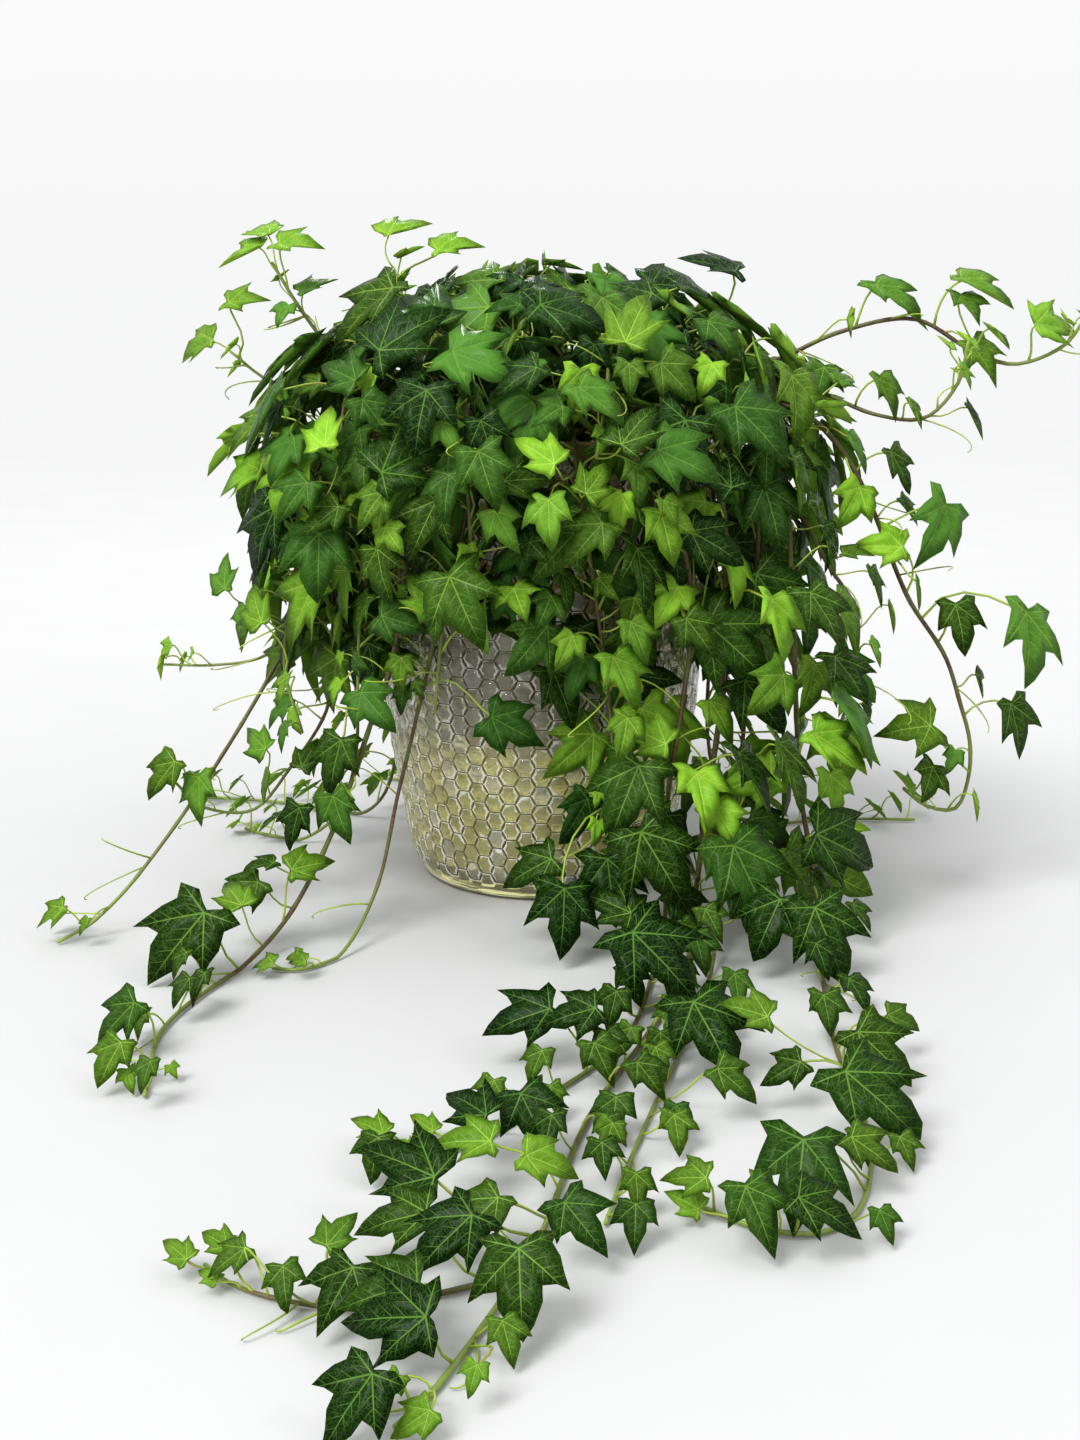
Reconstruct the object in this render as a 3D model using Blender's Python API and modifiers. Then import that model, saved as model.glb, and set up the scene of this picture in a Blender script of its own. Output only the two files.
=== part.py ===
"""Potted ivy: rooted ivy cuttings in a nursery pot, set in a tall pressed-glass planter with a honeycomb.

Metres, +Z up. The origin is the middle of the planter's underside, and -Y is the side seen in the photograph.
Every leafy stem is one solid: a stem, its leaf stalks and its lobed blades, joined by a Boolean union.
"""

import math
import random

import bmesh
import bpy
import numpy as np
from mathutils import Vector
from mathutils.bvhtree import BVHTree
from mathutils.kdtree import KDTree

# Glass planter, outer radius against height
PLANTER_HEIGHT = 0.285
PLANTER_PROFILE = (
    (0.000, 0.0750), (0.005, 0.0795), (0.024, 0.0855), (0.051, 0.0895),
    (0.080, 0.0955), (0.123, 0.0997), (0.194, 0.1028), (0.285, 0.1070),
)
PLANTER_WALL = 0.006
PLANTER_FLOOR = 0.012
INNER_WALL_HEIGHTS = (0.045, 0.123)
CELL_POINTS = 39
CELL_RINGS = 20
CELL_RELIEF = 0.0024
PLAIN_RINGS = 1

# Nursery pot, wedged by its rim in the taper of the glass
NURSERY_SIDES = 24
NURSERY_WALL = 0.0015
NURSERY_BOTTOM = (0.0700, 0.093)
NURSERY_SHOULDER = (0.0945, 0.251)
NURSERY_RIM_RADIUS = 0.0985
NURSERY_RIM_TOP = 0.268

# Potting soil
SOIL_TOP = 0.256
SOIL_CROWN = 0.003
SOIL_GAP = 0.0003
ROOT_DEPTH = 0.009
ROOT_ZONE = 0.078
HOLE_CLEARANCE = 0.0006
HOLE_SIDES = 4

# Stems
STEM_SIDES_RESOLUTION = 0
STEM_TIP_SHARE = 0.62
STEM_CLEARANCE = 0.0075
ROUTE_STEP = 0.006
UPRIGHT_POINTS = 3
MOST_BEND = 0.58
MOST_SPAN = 0.085
FLOOR_REST = 0.0003
RIM_CROSSING = (0.1035, 0.302)
GOLDEN_ANGLE = math.pi * (3.0 - math.sqrt(5.0))

# Leaves
BLADE_THICKNESS = 0.0007
JOINT_HALF_WIDTH = 0.0009
JOINT_KEEL = 0.0010
STEEP_KEEL = 0.0018
LEAST_STALK_SHARE = 0.50
STALK_RADIUS = 0.00095
ROOT_SHARE = 0.60
FIVE_LOBES_FROM = 0.044
FIVE_LOBES = ((0.40, -0.24), (0.38, 0.04), (0.56, 0.38), (0.24, 0.46))
FIVE_LOBE_FACES = ((0, 1, 2), (0, 2, 4), (2, 3, 4), (0, 4, 5))
THREE_LOBES = ((0.36, -0.18), (0.52, 0.30), (0.23, 0.46))
THREE_LOBE_FACES = ((0, 1, 3), (1, 2, 3), (0, 3, 4))
LEAF_GAP = 0.0004
LONG_STALK = 0.032

# Outline of the leaf dome and of the curtain under it: radius against height, and its width against its depth
CANOPY = (
    (0.375, 0.040), (0.360, 0.100), (0.330, 0.148), (0.300, 0.170), (0.260, 0.175),
    (0.220, 0.160), (0.180, 0.150), (0.140, 0.142),
)
CANOPY_WIDTH = 1.06
CANOPY_LEAVES = 136
CROWN_HEIGHT = 0.330
CROWN_GAP = 0.024
CURTAIN_GAP = 0.031
CURTAIN_FOOT = 0.150
GLASS_WINDOW = (math.radians(-124.0), math.radians(-76.0), 0.215)

# Stems whose routes the photograph shows: radius at the root, then the route outside the pot
SEEN_STEMS = {
    "trail_long": (0.0019, (
        (0.100, -0.112, 0.262), (0.106, -0.112, 0.191), (0.104, -0.116, 0.133), (0.097, -0.124, 0.078),
        (0.089, -0.145, 0.026), (0.083, -0.180, 0.002), (0.060, -0.272, 0.002), (0.021, -0.391, 0.002),
        (-0.002, -0.505, 0.002), (-0.017, -0.552, 0.002), (-0.038, -0.608, 0.002), (-0.050, -0.630, 0.002),
    )),
    "trail_mid": (0.0017, (
        (0.073, -0.124, 0.256), (0.086, -0.126, 0.194), (0.081, -0.128, 0.137), (0.073, -0.132, 0.080),
        (0.072, -0.152, 0.027), (0.064, -0.193, 0.002), (0.042, -0.298, 0.002), (0.008, -0.358, 0.002),
        (-0.020, -0.402, 0.002), (-0.048, -0.425, 0.002), (-0.066, -0.412, 0.002),
    )),
    "trail_short": (0.0015, (
        (0.122, -0.098, 0.250), (0.124, -0.100, 0.200), (0.121, -0.105, 0.154), (0.117, -0.112, 0.098),
        (0.106, -0.138, 0.036), (0.093, -0.208, 0.002), (0.068, -0.317, 0.002), (0.051, -0.381, 0.002),
        (0.034, -0.451, 0.002), (0.026, -0.488, 0.002),
    )),
    "trail_right": (0.0018, (
        (0.136, -0.092, 0.266), (0.145, -0.106, 0.193), (0.148, -0.116, 0.136), (0.152, -0.124, 0.079),
        (0.160, -0.140, 0.032), (0.158, -0.172, 0.002), (0.148, -0.298, 0.002), (0.147, -0.412, 0.002),
        (0.133, -0.474, 0.002), (0.113, -0.496, 0.002), (0.089, -0.492, 0.002), (0.067, -0.474, 0.002),
    )),
    "vine_right": (0.0018, (
        (0.150, -0.048, 0.300), (0.175, -0.060, 0.280), (0.193, -0.065, 0.250), (0.219, -0.070, 0.190),
        (0.243, -0.070, 0.154), (0.254, -0.070, 0.124), (0.261, -0.070, 0.100), (0.261, -0.070, 0.076),
        (0.254, -0.070, 0.058), (0.236, -0.070, 0.060), (0.222, -0.070, 0.071),
    )),
    "tangle_right": (0.0016, (
        (0.124, -0.066, 0.290), (0.148, -0.084, 0.247), (0.167, -0.094, 0.213), (0.185, -0.096, 0.184),
        (0.182, -0.098, 0.137), (0.172, -0.102, 0.104),
    )),
    "loop_right": (0.0016, (
        (0.152, -0.020, 0.310), (0.200, -0.050, 0.296), (0.225, -0.068, 0.296), (0.242, -0.073, 0.316),
        (0.247, -0.073, 0.340),
    )),
    "shoot_right": (0.0017, (
        (0.110, -0.004, 0.315), (0.145, -0.005, 0.326), (0.182, -0.010, 0.343), (0.225, -0.020, 0.351),
        (0.260, -0.030, 0.332), (0.284, -0.035, 0.325), (0.311, -0.040, 0.336), (0.322, -0.045, 0.353),
    )),
    "front_centre": (0.0015, (
        (0.019, -0.128, 0.275), (0.028, -0.132, 0.218), (0.036, -0.130, 0.161), (0.041, -0.130, 0.103),
        (0.032, -0.138, 0.060),
    )),
    "front_left": (0.0015, (
        (-0.036, -0.126, 0.278), (-0.046, -0.130, 0.230), (-0.056, -0.128, 0.184), (-0.062, -0.120, 0.130),
    )),
    "left_inner": (0.0015, (
        (-0.084, -0.098, 0.277), (-0.096, -0.102, 0.231), (-0.105, -0.106, 0.186), (-0.108, -0.106, 0.135),
    )),
    "left_curtain": (0.0015, (
        (-0.120, -0.050, 0.291), (-0.139, -0.070, 0.245), (-0.147, -0.080, 0.198), (-0.153, -0.085, 0.151),
        (-0.143, -0.090, 0.111),
    )),
    "vine_left_a": (0.0016, (
        (-0.124, -0.034, 0.270), (-0.131, -0.032, 0.227), (-0.149, -0.040, 0.173), (-0.163, -0.050, 0.144),
        (-0.200, -0.090, 0.084), (-0.238, -0.125, 0.033), (-0.262, -0.142, 0.010), (-0.280, -0.154, 0.002),
    )),
    "vine_left_b": (0.0018, (
        (-0.078, -0.108, 0.213), (-0.087, -0.116, 0.158), (-0.097, -0.120, 0.130), (-0.121, -0.135, 0.064),
        (-0.145, -0.158, 0.020), (-0.168, -0.198, 0.002), (-0.194, -0.279, 0.002), (-0.188, -0.364, 0.002),
    )),
    "vine_left_c": (0.0016, (
        (-0.061, -0.118, 0.180), (-0.074, -0.116, 0.122), (-0.084, -0.118, 0.082), (-0.096, -0.137, 0.030),
        (-0.115, -0.178, 0.002), (-0.134, -0.198, 0.002), (-0.150, -0.196, 0.002),
    )),
    "runner_left": (0.0013, (
        (-0.126, -0.014, 0.260), (-0.138, -0.018, 0.200), (-0.151, -0.020, 0.162), (-0.176, -0.022, 0.143),
        (-0.207, -0.022, 0.138), (-0.238, -0.020, 0.138),
    )),
    "sprig_left_low": (0.0014, (
        (-0.122, -0.052, 0.250), (-0.126, -0.060, 0.180), (-0.130, -0.062, 0.122), (-0.155, -0.070, 0.082),
        (-0.176, -0.080, 0.060), (-0.206, -0.086, 0.064), (-0.220, -0.090, 0.080),
    )),
    "shoot_left_high": (0.0016, (
        (-0.092, -0.010, 0.305), (-0.124, -0.012, 0.328), (-0.146, -0.011, 0.356), (-0.163, -0.010, 0.384),
    )),
    "shoot_left_low": (0.0014, (
        (-0.110, 0.018, 0.300), (-0.142, 0.020, 0.308), (-0.171, 0.020, 0.312), (-0.195, 0.020, 0.330),
    )),
    "shoot_top": (0.0014, (
        (-0.062, 0.016, 0.320), (-0.086, 0.028, 0.350), (-0.092, 0.030, 0.380),
    )),
}

# Stems that are bare between the leaves seen on them
BARE_STEMS = ("vine_left_a", "vine_left_c", "runner_left", "shoot_left_high", "shoot_top")

# The sprig that leaves the longest trail near its end: parent, radius, route from the parent
SPRIG = ("trail_long", 0.0013, (
    (-0.017, -0.552, 0.002), (-0.044, -0.545, 0.002), (-0.070, -0.554, 0.002), (-0.098, -0.548, 0.002),
    (-0.119, -0.537, 0.002), (-0.133, -0.521, 0.002),
))

# Mound stems and back stems, which follow a rule
SHOULDER_STEMS = 9
SHOULDER_RADIUS = 0.0017
SHOULDER_ROUTE = ((0.085, 0.322), (0.116, 0.334), (0.138, 0.316), (0.149, 0.280), (0.147, 0.235), (0.142, 0.190))
CROWN_STEMS = 4
CROWN_RADIUS = 0.0017
CROWN_ROUTE = ((0.034, 0.310), (0.058, 0.338), (0.086, 0.346), (0.108, 0.340))
BACK_STEMS = (
    ("back_trail_1", 28.0, 0.115, -30.0), ("back_trail_2", 58.0, 0.060, 25.0), ("back_trail_3", 84.0, 0.150, -35.0),
    ("back_trail_4", 112.0, 0.080, 40.0), ("back_trail_5", 140.0, 0.130, 30.0), ("back_trail_6", 164.0, 0.050, -25.0),
)
BACK_RADIUS = 0.0016
BACK_ROUTE = ((0.124, 0.262), (0.130, 0.200), (0.128, 0.130), (0.128, 0.070), (0.142, 0.024), (0.170, 0.002))

# Main leaves in the places where the photograph shows them: where the blade meets its stalk (x, y, z), the
# blade's length from there to its point, how far its point turns from straight down to the right, in degrees,
# and its youth, from 0, old and dark, to 1, new and pale
SEEN_LEAVES = (
    (-0.095, 0.030, 0.400, 0.032, 135, 0.90), (-0.065, 0.030, 0.390, 0.030, 105, 0.85),
    (-0.060, -0.100, 0.350, 0.046, -145, 0.10), (-0.090, -0.115, 0.335, 0.047, 110, 0.10),
    (-0.105, -0.120, 0.320, 0.030, -120, 0.20), (-0.100, -0.130, 0.310, 0.028, 40, 0.15),
    (-0.050, -0.130, 0.335, 0.044, 50, 0.15), (0.000, -0.100, 0.360, 0.042, 70, 0.10),
    (-0.005, -0.155, 0.325, 0.029, -55, 0.10), (-0.120, -0.130, 0.285, 0.030, -160, 1.00),
    (-0.080, -0.155, 0.270, 0.044, 105, 0.15), (-0.035, -0.170, 0.285, 0.035, 20, 0.20),
    (-0.020, -0.170, 0.270, 0.029, 105, 0.35), (0.005, -0.175, 0.260, 0.028, 0, 0.65),
    (-0.050, -0.152, 0.215, 0.045, 20, 0.30), (-0.105, -0.125, 0.145, 0.033, 50, 0.20),
    (-0.118, -0.115, 0.130, 0.033, -20, 0.15), (-0.090, -0.130, 0.190, 0.030, 65, 0.20),
    (-0.015, -0.128, 0.125, 0.035, 30, 0.10), (-0.140, -0.110, 0.285, 0.031, -30, 0.15),
    (-0.170, -0.010, 0.265, 0.033, -5, 0.20), (-0.125, -0.120, 0.235, 0.040, 0, 0.15),
    (-0.132, -0.125, 0.265, 0.028, -30, 0.15), (-0.168, -0.010, 0.394, 0.029, -95, 0.80),
    (-0.164, -0.006, 0.398, 0.026, -130, 0.80), (-0.158, -0.014, 0.395, 0.029, 75, 0.75),
    (-0.195, 0.020, 0.360, 0.028, 80, 0.75), (-0.202, 0.020, 0.340, 0.030, -85, 0.75),
    (0.045, -0.128, 0.342, 0.036, 155, 0.70), (0.020, -0.155, 0.320, 0.033, 55, 0.30),
    (0.120, 0.020, 0.378, 0.037, -110, 0.10), (0.065, -0.055, 0.368, 0.035, -50, 0.10),
    (0.072, 0.010, 0.374, 0.035, 95, 0.10), (0.045, -0.165, 0.292, 0.033, 145, 0.25),
    (0.105, -0.140, 0.262, 0.035, -135, 0.15), (0.082, -0.150, 0.240, 0.035, 55, 0.15),
    (0.065, -0.160, 0.252, 0.031, 5, 0.65), (0.095, -0.140, 0.185, 0.050, 55, 0.15),
    (0.118, -0.125, 0.150, 0.038, 30, 0.10), (0.042, -0.145, 0.168, 0.033, 25, 0.70),
    (0.070, -0.140, 0.118, 0.030, -110, 0.90), (0.055, -0.150, 0.106, 0.047, -30, 0.15),
    (0.098, -0.135, 0.140, 0.028, 20, 0.70), (0.128, -0.080, 0.215, 0.031, 30, 0.15),
    (0.152, -0.070, 0.270, 0.028, 25, 0.50), (0.168, -0.115, 0.158, 0.035, 45, 0.15),
    (0.176, -0.112, 0.120, 0.042, 5, 0.60), (0.132, -0.135, 0.096, 0.033, -70, 0.75),
    (0.165, -0.130, 0.094, 0.029, 5, 0.65), (0.100, -0.150, 0.084, 0.030, 30, 0.85),
    (0.055, -0.170, 0.074, 0.051, 25, 0.15), (0.108, -0.172, 0.066, 0.051, 25, 0.15),
    (0.156, -0.156, 0.070, 0.047, 70, 0.15), (0.125, -0.190, 0.045, 0.038, -20, 0.10),
    (0.148, -0.205, 0.040, 0.044, 25, 0.15), (0.050, -0.262, 0.036, 0.051, 0, 0.10),
    (0.072, -0.325, 0.034, 0.044, 10, 0.15), (0.050, -0.178, 0.030, 0.034, -115, 0.20),
    (0.005, -0.158, 0.052, 0.033, -60, 0.25), (0.018, -0.180, 0.040, 0.040, -10, 0.15),
    (0.005, -0.322, 0.030, 0.035, -65, 0.10), (0.024, -0.332, 0.030, 0.028, -55, 0.10),
    (-0.008, -0.418, 0.028, 0.030, 25, 0.15), (-0.022, -0.462, 0.026, 0.026, -100, 0.90),
    (-0.042, -0.500, 0.028, 0.036, -130, 0.10), (-0.048, -0.512, 0.022, 0.030, -45, 0.40),
    (-0.028, -0.530, 0.026, 0.033, -25, 0.15), (-0.045, -0.572, 0.024, 0.030, -60, 0.25),
    (-0.042, -0.596, 0.024, 0.033, -85, 0.10), (-0.008, -0.560, 0.030, 0.035, 5, 0.30),
    (-0.058, -0.634, 0.024, 0.030, -35, 0.20), (0.008, -0.515, 0.024, 0.028, 40, 0.15),
    (-0.070, -0.560, 0.022, 0.028, -20, 0.20), (-0.112, -0.536, 0.020, 0.018, -50, 0.50),
    (0.150, -0.350, 0.030, 0.035, 35, 0.35), (0.136, -0.402, 0.032, 0.044, 30, 0.15),
    (0.105, -0.470, 0.032, 0.040, -10, 0.10), (0.100, -0.512, 0.026, 0.029, 45, 0.15),
    (0.080, -0.506, 0.026, 0.030, 10, 0.30), (0.066, -0.484, 0.020, 0.020, -100, 0.80),
    (0.284, -0.074, 0.124, 0.035, 15, 0.20), (0.288, -0.072, 0.182, 0.046, 8, 0.30),
    (0.247, -0.074, 0.190, 0.031, 25, 0.30), (0.236, -0.078, 0.245, 0.042, -30, 0.15),
    (0.230, -0.074, 0.130, 0.038, -65, 0.60), (0.238, -0.074, 0.086, 0.029, -40, 0.30),
    (0.188, -0.070, 0.255, 0.030, -30, 0.85), (0.216, -0.064, 0.228, 0.028, -60, 1.00),
    (0.200, -0.014, 0.368, 0.036, 50, 0.35), (0.250, -0.030, 0.376, 0.036, 60, 0.60),
    (0.258, -0.038, 0.336, 0.030, 35, 0.55), (0.292, -0.045, 0.348, 0.035, 100, 0.75),
    (0.200, -0.054, 0.318, 0.028, 15, 0.50), (0.206, -0.066, 0.275, 0.028, 35, 0.25),
    (-0.202, -0.098, 0.086, 0.030, 5, 0.40), (-0.214, -0.094, 0.094, 0.028, -30, 0.40),
    (-0.186, -0.206, 0.036, 0.049, -40, 0.30), (-0.202, -0.312, 0.030, 0.029, -40, 0.30),
    (-0.200, -0.350, 0.024, 0.024, -25, 0.70), (-0.162, -0.156, 0.040, 0.028, -45, 0.35),
    (-0.126, -0.132, 0.074, 0.030, 25, 0.30), (-0.156, -0.052, 0.145, 0.030, -55, 0.50),
    (0.095, -0.080, 0.352, 0.029, 35, 0.15), (0.178, -0.018, 0.326, 0.030, -20, 0.30),
    (-0.276, -0.150, 0.022, 0.020, -60, 0.85), (-0.236, -0.018, 0.148, 0.016, -60, 0.80),
    (-0.010, -0.150, 0.316, 0.044, -25, 0.10), (0.034, -0.152, 0.304, 0.042, 35, 0.15),
    (0.078, -0.145, 0.300, 0.042, -15, 0.15), (0.108, -0.120, 0.305, 0.044, 35, 0.15),
    (-0.112, -0.105, 0.300, 0.042, -35, 0.15), (0.018, -0.145, 0.240, 0.036, -40, 0.30),
    (0.075, -0.150, 0.272, 0.038, 20, 0.20), (0.128, -0.110, 0.262, 0.040, 10, 0.10),
    (-0.058, -0.150, 0.258, 0.036, -30, 0.30), (0.125, -0.110, 0.210, 0.040, 20, 0.15),
)

STEM_GREEN = (0.10, 0.16, 0.035, 1.0)
LEAF_GREEN = (0.045, 0.17, 0.035, 1.0)


def clear_scene():
    for obj in list(bpy.data.objects):
        bpy.data.objects.remove(obj, do_unlink=True)


def new_collection(name):
    collection = bpy.data.collections.new(name)
    bpy.context.scene.collection.children.link(collection)
    return collection


def material(name, colour, roughness, metallic=0.0, alpha=1.0):
    """A Principled material with a plain finish."""
    made = bpy.data.materials.new(name)
    made.use_nodes = True
    shader = made.node_tree.nodes["Principled BSDF"]
    shader.inputs["Base Color"].default_value = colour
    shader.inputs["Roughness"].default_value = roughness
    shader.inputs["Metallic"].default_value = metallic
    shader.inputs["Alpha"].default_value = alpha
    return made


def add_mesh(name, points, faces, collection):
    mesh = bpy.data.meshes.new(name)
    mesh.from_pydata([tuple(p) for p in points], [], [tuple(f) for f in faces])
    mesh.validate()
    obj = bpy.data.objects.new(name, mesh)
    collection.objects.link(obj)
    return obj


def planter_radius(height):
    heights = [h for h, _ in PLANTER_PROFILE]
    radii = [r for _, r in PLANTER_PROFILE]
    return float(np.interp(height, heights, radii))


def circle(radius, height, count, turn=0.0):
    angles = (np.arange(count) + turn) * (2.0 * math.pi / count)
    return np.stack([radius * np.cos(angles), radius * np.sin(angles), np.full(count, height)], axis=1)


def make_glass_planter(parts):
    """A shell whose outer face is a triangular lattice of points, every third one raised as a facet's middle.

    Each ring of points is turned by half a step from the one below, so six lattice triangles round a raised
    point make one hexagon of the honeycomb.
    """
    rings = []
    for ring in range(CELL_RINGS + 1):
        height = PLANTER_HEIGHT * ring / CELL_RINGS
        points = circle(planter_radius(height), height, CELL_POINTS, 0.5 * (ring % 2))
        if PLAIN_RINGS <= ring <= CELL_RINGS - PLAIN_RINGS:
            lattice_column = np.arange(CELL_POINTS) - ring // 2 - ring
            grow = np.where(lattice_column % 3 == 0, CELL_RELIEF, 0.0) / planter_radius(height)
            points[:, :2] *= (1.0 + grow)[:, None]
        rings.append(points)
    turn = 0.5 * (CELL_RINGS % 2)
    rings.append(circle(planter_radius(PLANTER_HEIGHT) - PLANTER_WALL, PLANTER_HEIGHT, CELL_POINTS, turn))
    for height in reversed(INNER_WALL_HEIGHTS):
        rings.append(circle(planter_radius(height) - PLANTER_WALL, height, CELL_POINTS, turn))
    rings.append(circle(planter_radius(0.0) - PLANTER_WALL, PLANTER_FLOOR, CELL_POINTS, turn))
    faces = []
    for low in range(len(rings) - 1):
        a, b = low * CELL_POINTS, (low + 1) * CELL_POINTS
        shifted = low < CELL_RINGS and low % 2 == 0
        for i in range(CELL_POINTS):
            j = (i + 1) % CELL_POINTS
            if shifted:
                faces += [(a + i, a + j, b + i), (a + j, b + j, b + i)]
            else:
                faces += [(a + i, b + j, b + i), (a + i, a + j, b + j)]
    last = (len(rings) - 1) * CELL_POINTS
    faces.append(tuple(reversed(range(CELL_POINTS))))
    faces.append(tuple(range(last, last + CELL_POINTS)))
    planter = add_mesh("glass_planter", np.concatenate(rings), faces, parts)
    planter.data.materials.append(material("pressed_glass", (0.86, 0.84, 0.78, 1.0), 0.06, 0.0, 0.35))
    return planter


def make_turned(name, profile, sides, parts):
    """A profile at +X, run down its outer side, turned round Z with a Screw modifier."""
    mesh = bpy.data.meshes.new(name)
    mesh.from_pydata([(r, 0.0, z) for r, z in profile], [(i, i + 1) for i in range(len(profile) - 1)], [])
    obj = bpy.data.objects.new(name, mesh)
    parts.objects.link(obj)
    screw = obj.modifiers.new("turn", "SCREW")
    screw.steps = sides
    screw.render_steps = sides
    screw.use_merge_vertices = True
    screw.merge_threshold = 0.0001
    return obj


def make_nursery_pot(parts):
    bottom_radius, bottom = NURSERY_BOTTOM
    shoulder_radius, shoulder = NURSERY_SHOULDER
    profile = (
        (0.0, bottom + NURSERY_WALL),
        (bottom_radius - NURSERY_WALL, bottom + NURSERY_WALL),
        (shoulder_radius - NURSERY_WALL, shoulder),
        (NURSERY_RIM_RADIUS - NURSERY_WALL, NURSERY_RIM_TOP),
        (NURSERY_RIM_RADIUS, NURSERY_RIM_TOP),
        (NURSERY_RIM_RADIUS, shoulder + NURSERY_WALL),
        (shoulder_radius, shoulder),
        (bottom_radius, bottom),
        (0.0, bottom),
    )
    pot = make_turned("nursery_pot", profile, NURSERY_SIDES, parts)
    pot.data.materials.append(material("pot_plastic", (0.055, 0.042, 0.030, 1.0), 0.55))
    return pot


def make_soil(parts, stems):
    """A plug that fills the nursery pot, with a plain hole for each stem."""
    bottom_radius, bottom = NURSERY_BOTTOM
    shoulder_radius, shoulder = NURSERY_SHOULDER
    inset = NURSERY_WALL + SOIL_GAP
    profile = (
        (0.0, SOIL_TOP + SOIL_CROWN),
        (0.55 * shoulder_radius, SOIL_TOP + 0.7 * SOIL_CROWN),
        (shoulder_radius - inset, shoulder),
        (bottom_radius - inset, bottom + inset),
        (0.0, bottom + inset),
    )
    soil = make_turned("potting_soil", profile, NURSERY_SIDES, parts)
    soil.data.materials.append(material("dark_soil", (0.045, 0.028, 0.018, 1.0), 0.95))
    holes = new_collection("stem_holes")
    for name, stem in stems.items():
        root = stem["points"][0]
        across = stem["radius"] + HOLE_CLEARANCE
        mesh = bpy.data.meshes.new("hole_" + name)
        tool = bmesh.new()
        bmesh.ops.create_cone(
            tool, cap_ends=True, segments=HOLE_SIDES, radius1=across / math.cos(math.pi / HOLE_SIDES),
            radius2=across / math.cos(math.pi / HOLE_SIDES), depth=4.0 * ROOT_DEPTH,
        )
        tool.to_mesh(mesh)
        tool.free()
        hole = bpy.data.objects.new("hole_" + name, mesh)
        hole.location = (root[0], root[1], root[2] - SOIL_GAP + 2.0 * ROOT_DEPTH)
        hole.hide_render = True
        hole.display_type = "WIRE"
        holes.objects.link(hole)
    cut = soil.modifiers.new("holes", "BOOLEAN")
    cut.operation = "DIFFERENCE"
    cut.operand_type = "COLLECTION"
    cut.collection = holes
    return soil


def smooth_route(points, step):
    """A curve through the points: cubic Hermite pieces whose slopes come from each point's two neighbours."""
    points = np.asarray(points, float)
    chord = np.linalg.norm(np.diff(points, axis=0), axis=1)
    reach = np.concatenate([[0.0], np.cumsum(chord)])
    slope = np.empty_like(points)
    slope[1:-1] = (points[2:] - points[:-2]) / (reach[2:] - reach[:-2])[:, None]
    slope[0] = (points[1] - points[0]) / chord[0]
    slope[-1] = (points[-1] - points[-2]) / chord[-1]
    at = np.linspace(0.0, reach[-1], max(4, int(round(reach[-1] / step))))
    piece = np.clip(np.searchsorted(reach, at, side="right") - 1, 0, len(chord) - 1)
    span = chord[piece][:, None]
    t = ((at - reach[piece]) / chord[piece])[:, None]
    return (
        (2 * t**3 - 3 * t**2 + 1) * points[piece] + (t**3 - 2 * t**2 + t) * span * slope[piece]
        + (-2 * t**3 + 3 * t**2) * points[piece + 1] + (t**3 - t**2) * span * slope[piece + 1]
    )


def polar(azimuth, radius, height):
    return (radius * math.cos(azimuth), radius * math.sin(azimuth), height)


def outer_routes():
    """Every stem's radius and its route outside the pot, the seen ones first."""
    routes = dict(SEEN_STEMS)
    for k in range(SHOULDER_STEMS):
        azimuth = 2.0 * math.pi * (k + 0.3) / SHOULDER_STEMS
        ends = len(SHOULDER_ROUTE) - (k * 2) % 3
        twist = 0.10 * math.sin(2.6 * k)
        points = [polar(azimuth + twist * i, r, z) for i, (r, z) in enumerate(SHOULDER_ROUTE[:ends])]
        routes[f"shoulder_stem_{k + 1}"] = (SHOULDER_RADIUS, tuple(points))
    for k in range(CROWN_STEMS):
        azimuth = 2.0 * math.pi * (k + 0.75) / CROWN_STEMS
        points = [polar(azimuth + 0.12 * i, r, z) for i, (r, z) in enumerate(CROWN_ROUTE)]
        routes[f"crown_stem_{k + 1}"] = (CROWN_RADIUS, tuple(points))
    for name, azimuth, run, turn in BACK_STEMS:
        start = math.radians(azimuth)
        points = [polar(start, r, z) for r, z in BACK_ROUTE]
        heading = start
        for _ in range(3):
            heading += math.radians(turn) / 3.0
            x, y, z = points[-1]
            points.append((x + run / 3.0 * math.cos(heading), y + run / 3.0 * math.sin(heading), z))
        routes[name] = (BACK_RADIUS, tuple(points))
    return routes


def rooted_routes():
    """Each outer route led back to a root of its own, from a sunflower pattern of roots in the soil."""
    routes = outer_routes()
    count = len(routes)
    free = []
    for k in range(count):
        radius = ROOT_ZONE * math.sqrt((k + 0.5) / count)
        free.append(polar(k * GOLDEN_ANGLE, radius, SOIL_TOP))
    rooted = {}
    for name, (radius, outer) in routes.items():
        azimuth = math.atan2(outer[0][1], outer[0][0])
        wanted = polar(azimuth, min(ROOT_ZONE, math.hypot(outer[0][0], outer[0][1])), SOIL_TOP)
        root = min(free, key=lambda spot: math.dist(spot, wanted))
        free.remove(root)
        x, y, z = root
        start = [(x, y, z - ROOT_DEPTH), (x, y, z + 0.004), (x * 1.04, y * 1.04, z + 0.022)]
        if outer[0][2] < RIM_CROSSING[1]:
            rise = 0.010 * (1.0 - math.hypot(x, y) / ROOT_ZONE)
            start.append(polar(azimuth, RIM_CROSSING[0], RIM_CROSSING[1] + rise))
        line = smooth_route(start + list(outer), ROUTE_STEP)
        line[:UPRIGHT_POINTS, :2] = (x, y)
        rooted[name] = (radius, line)
    return rooted


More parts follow.
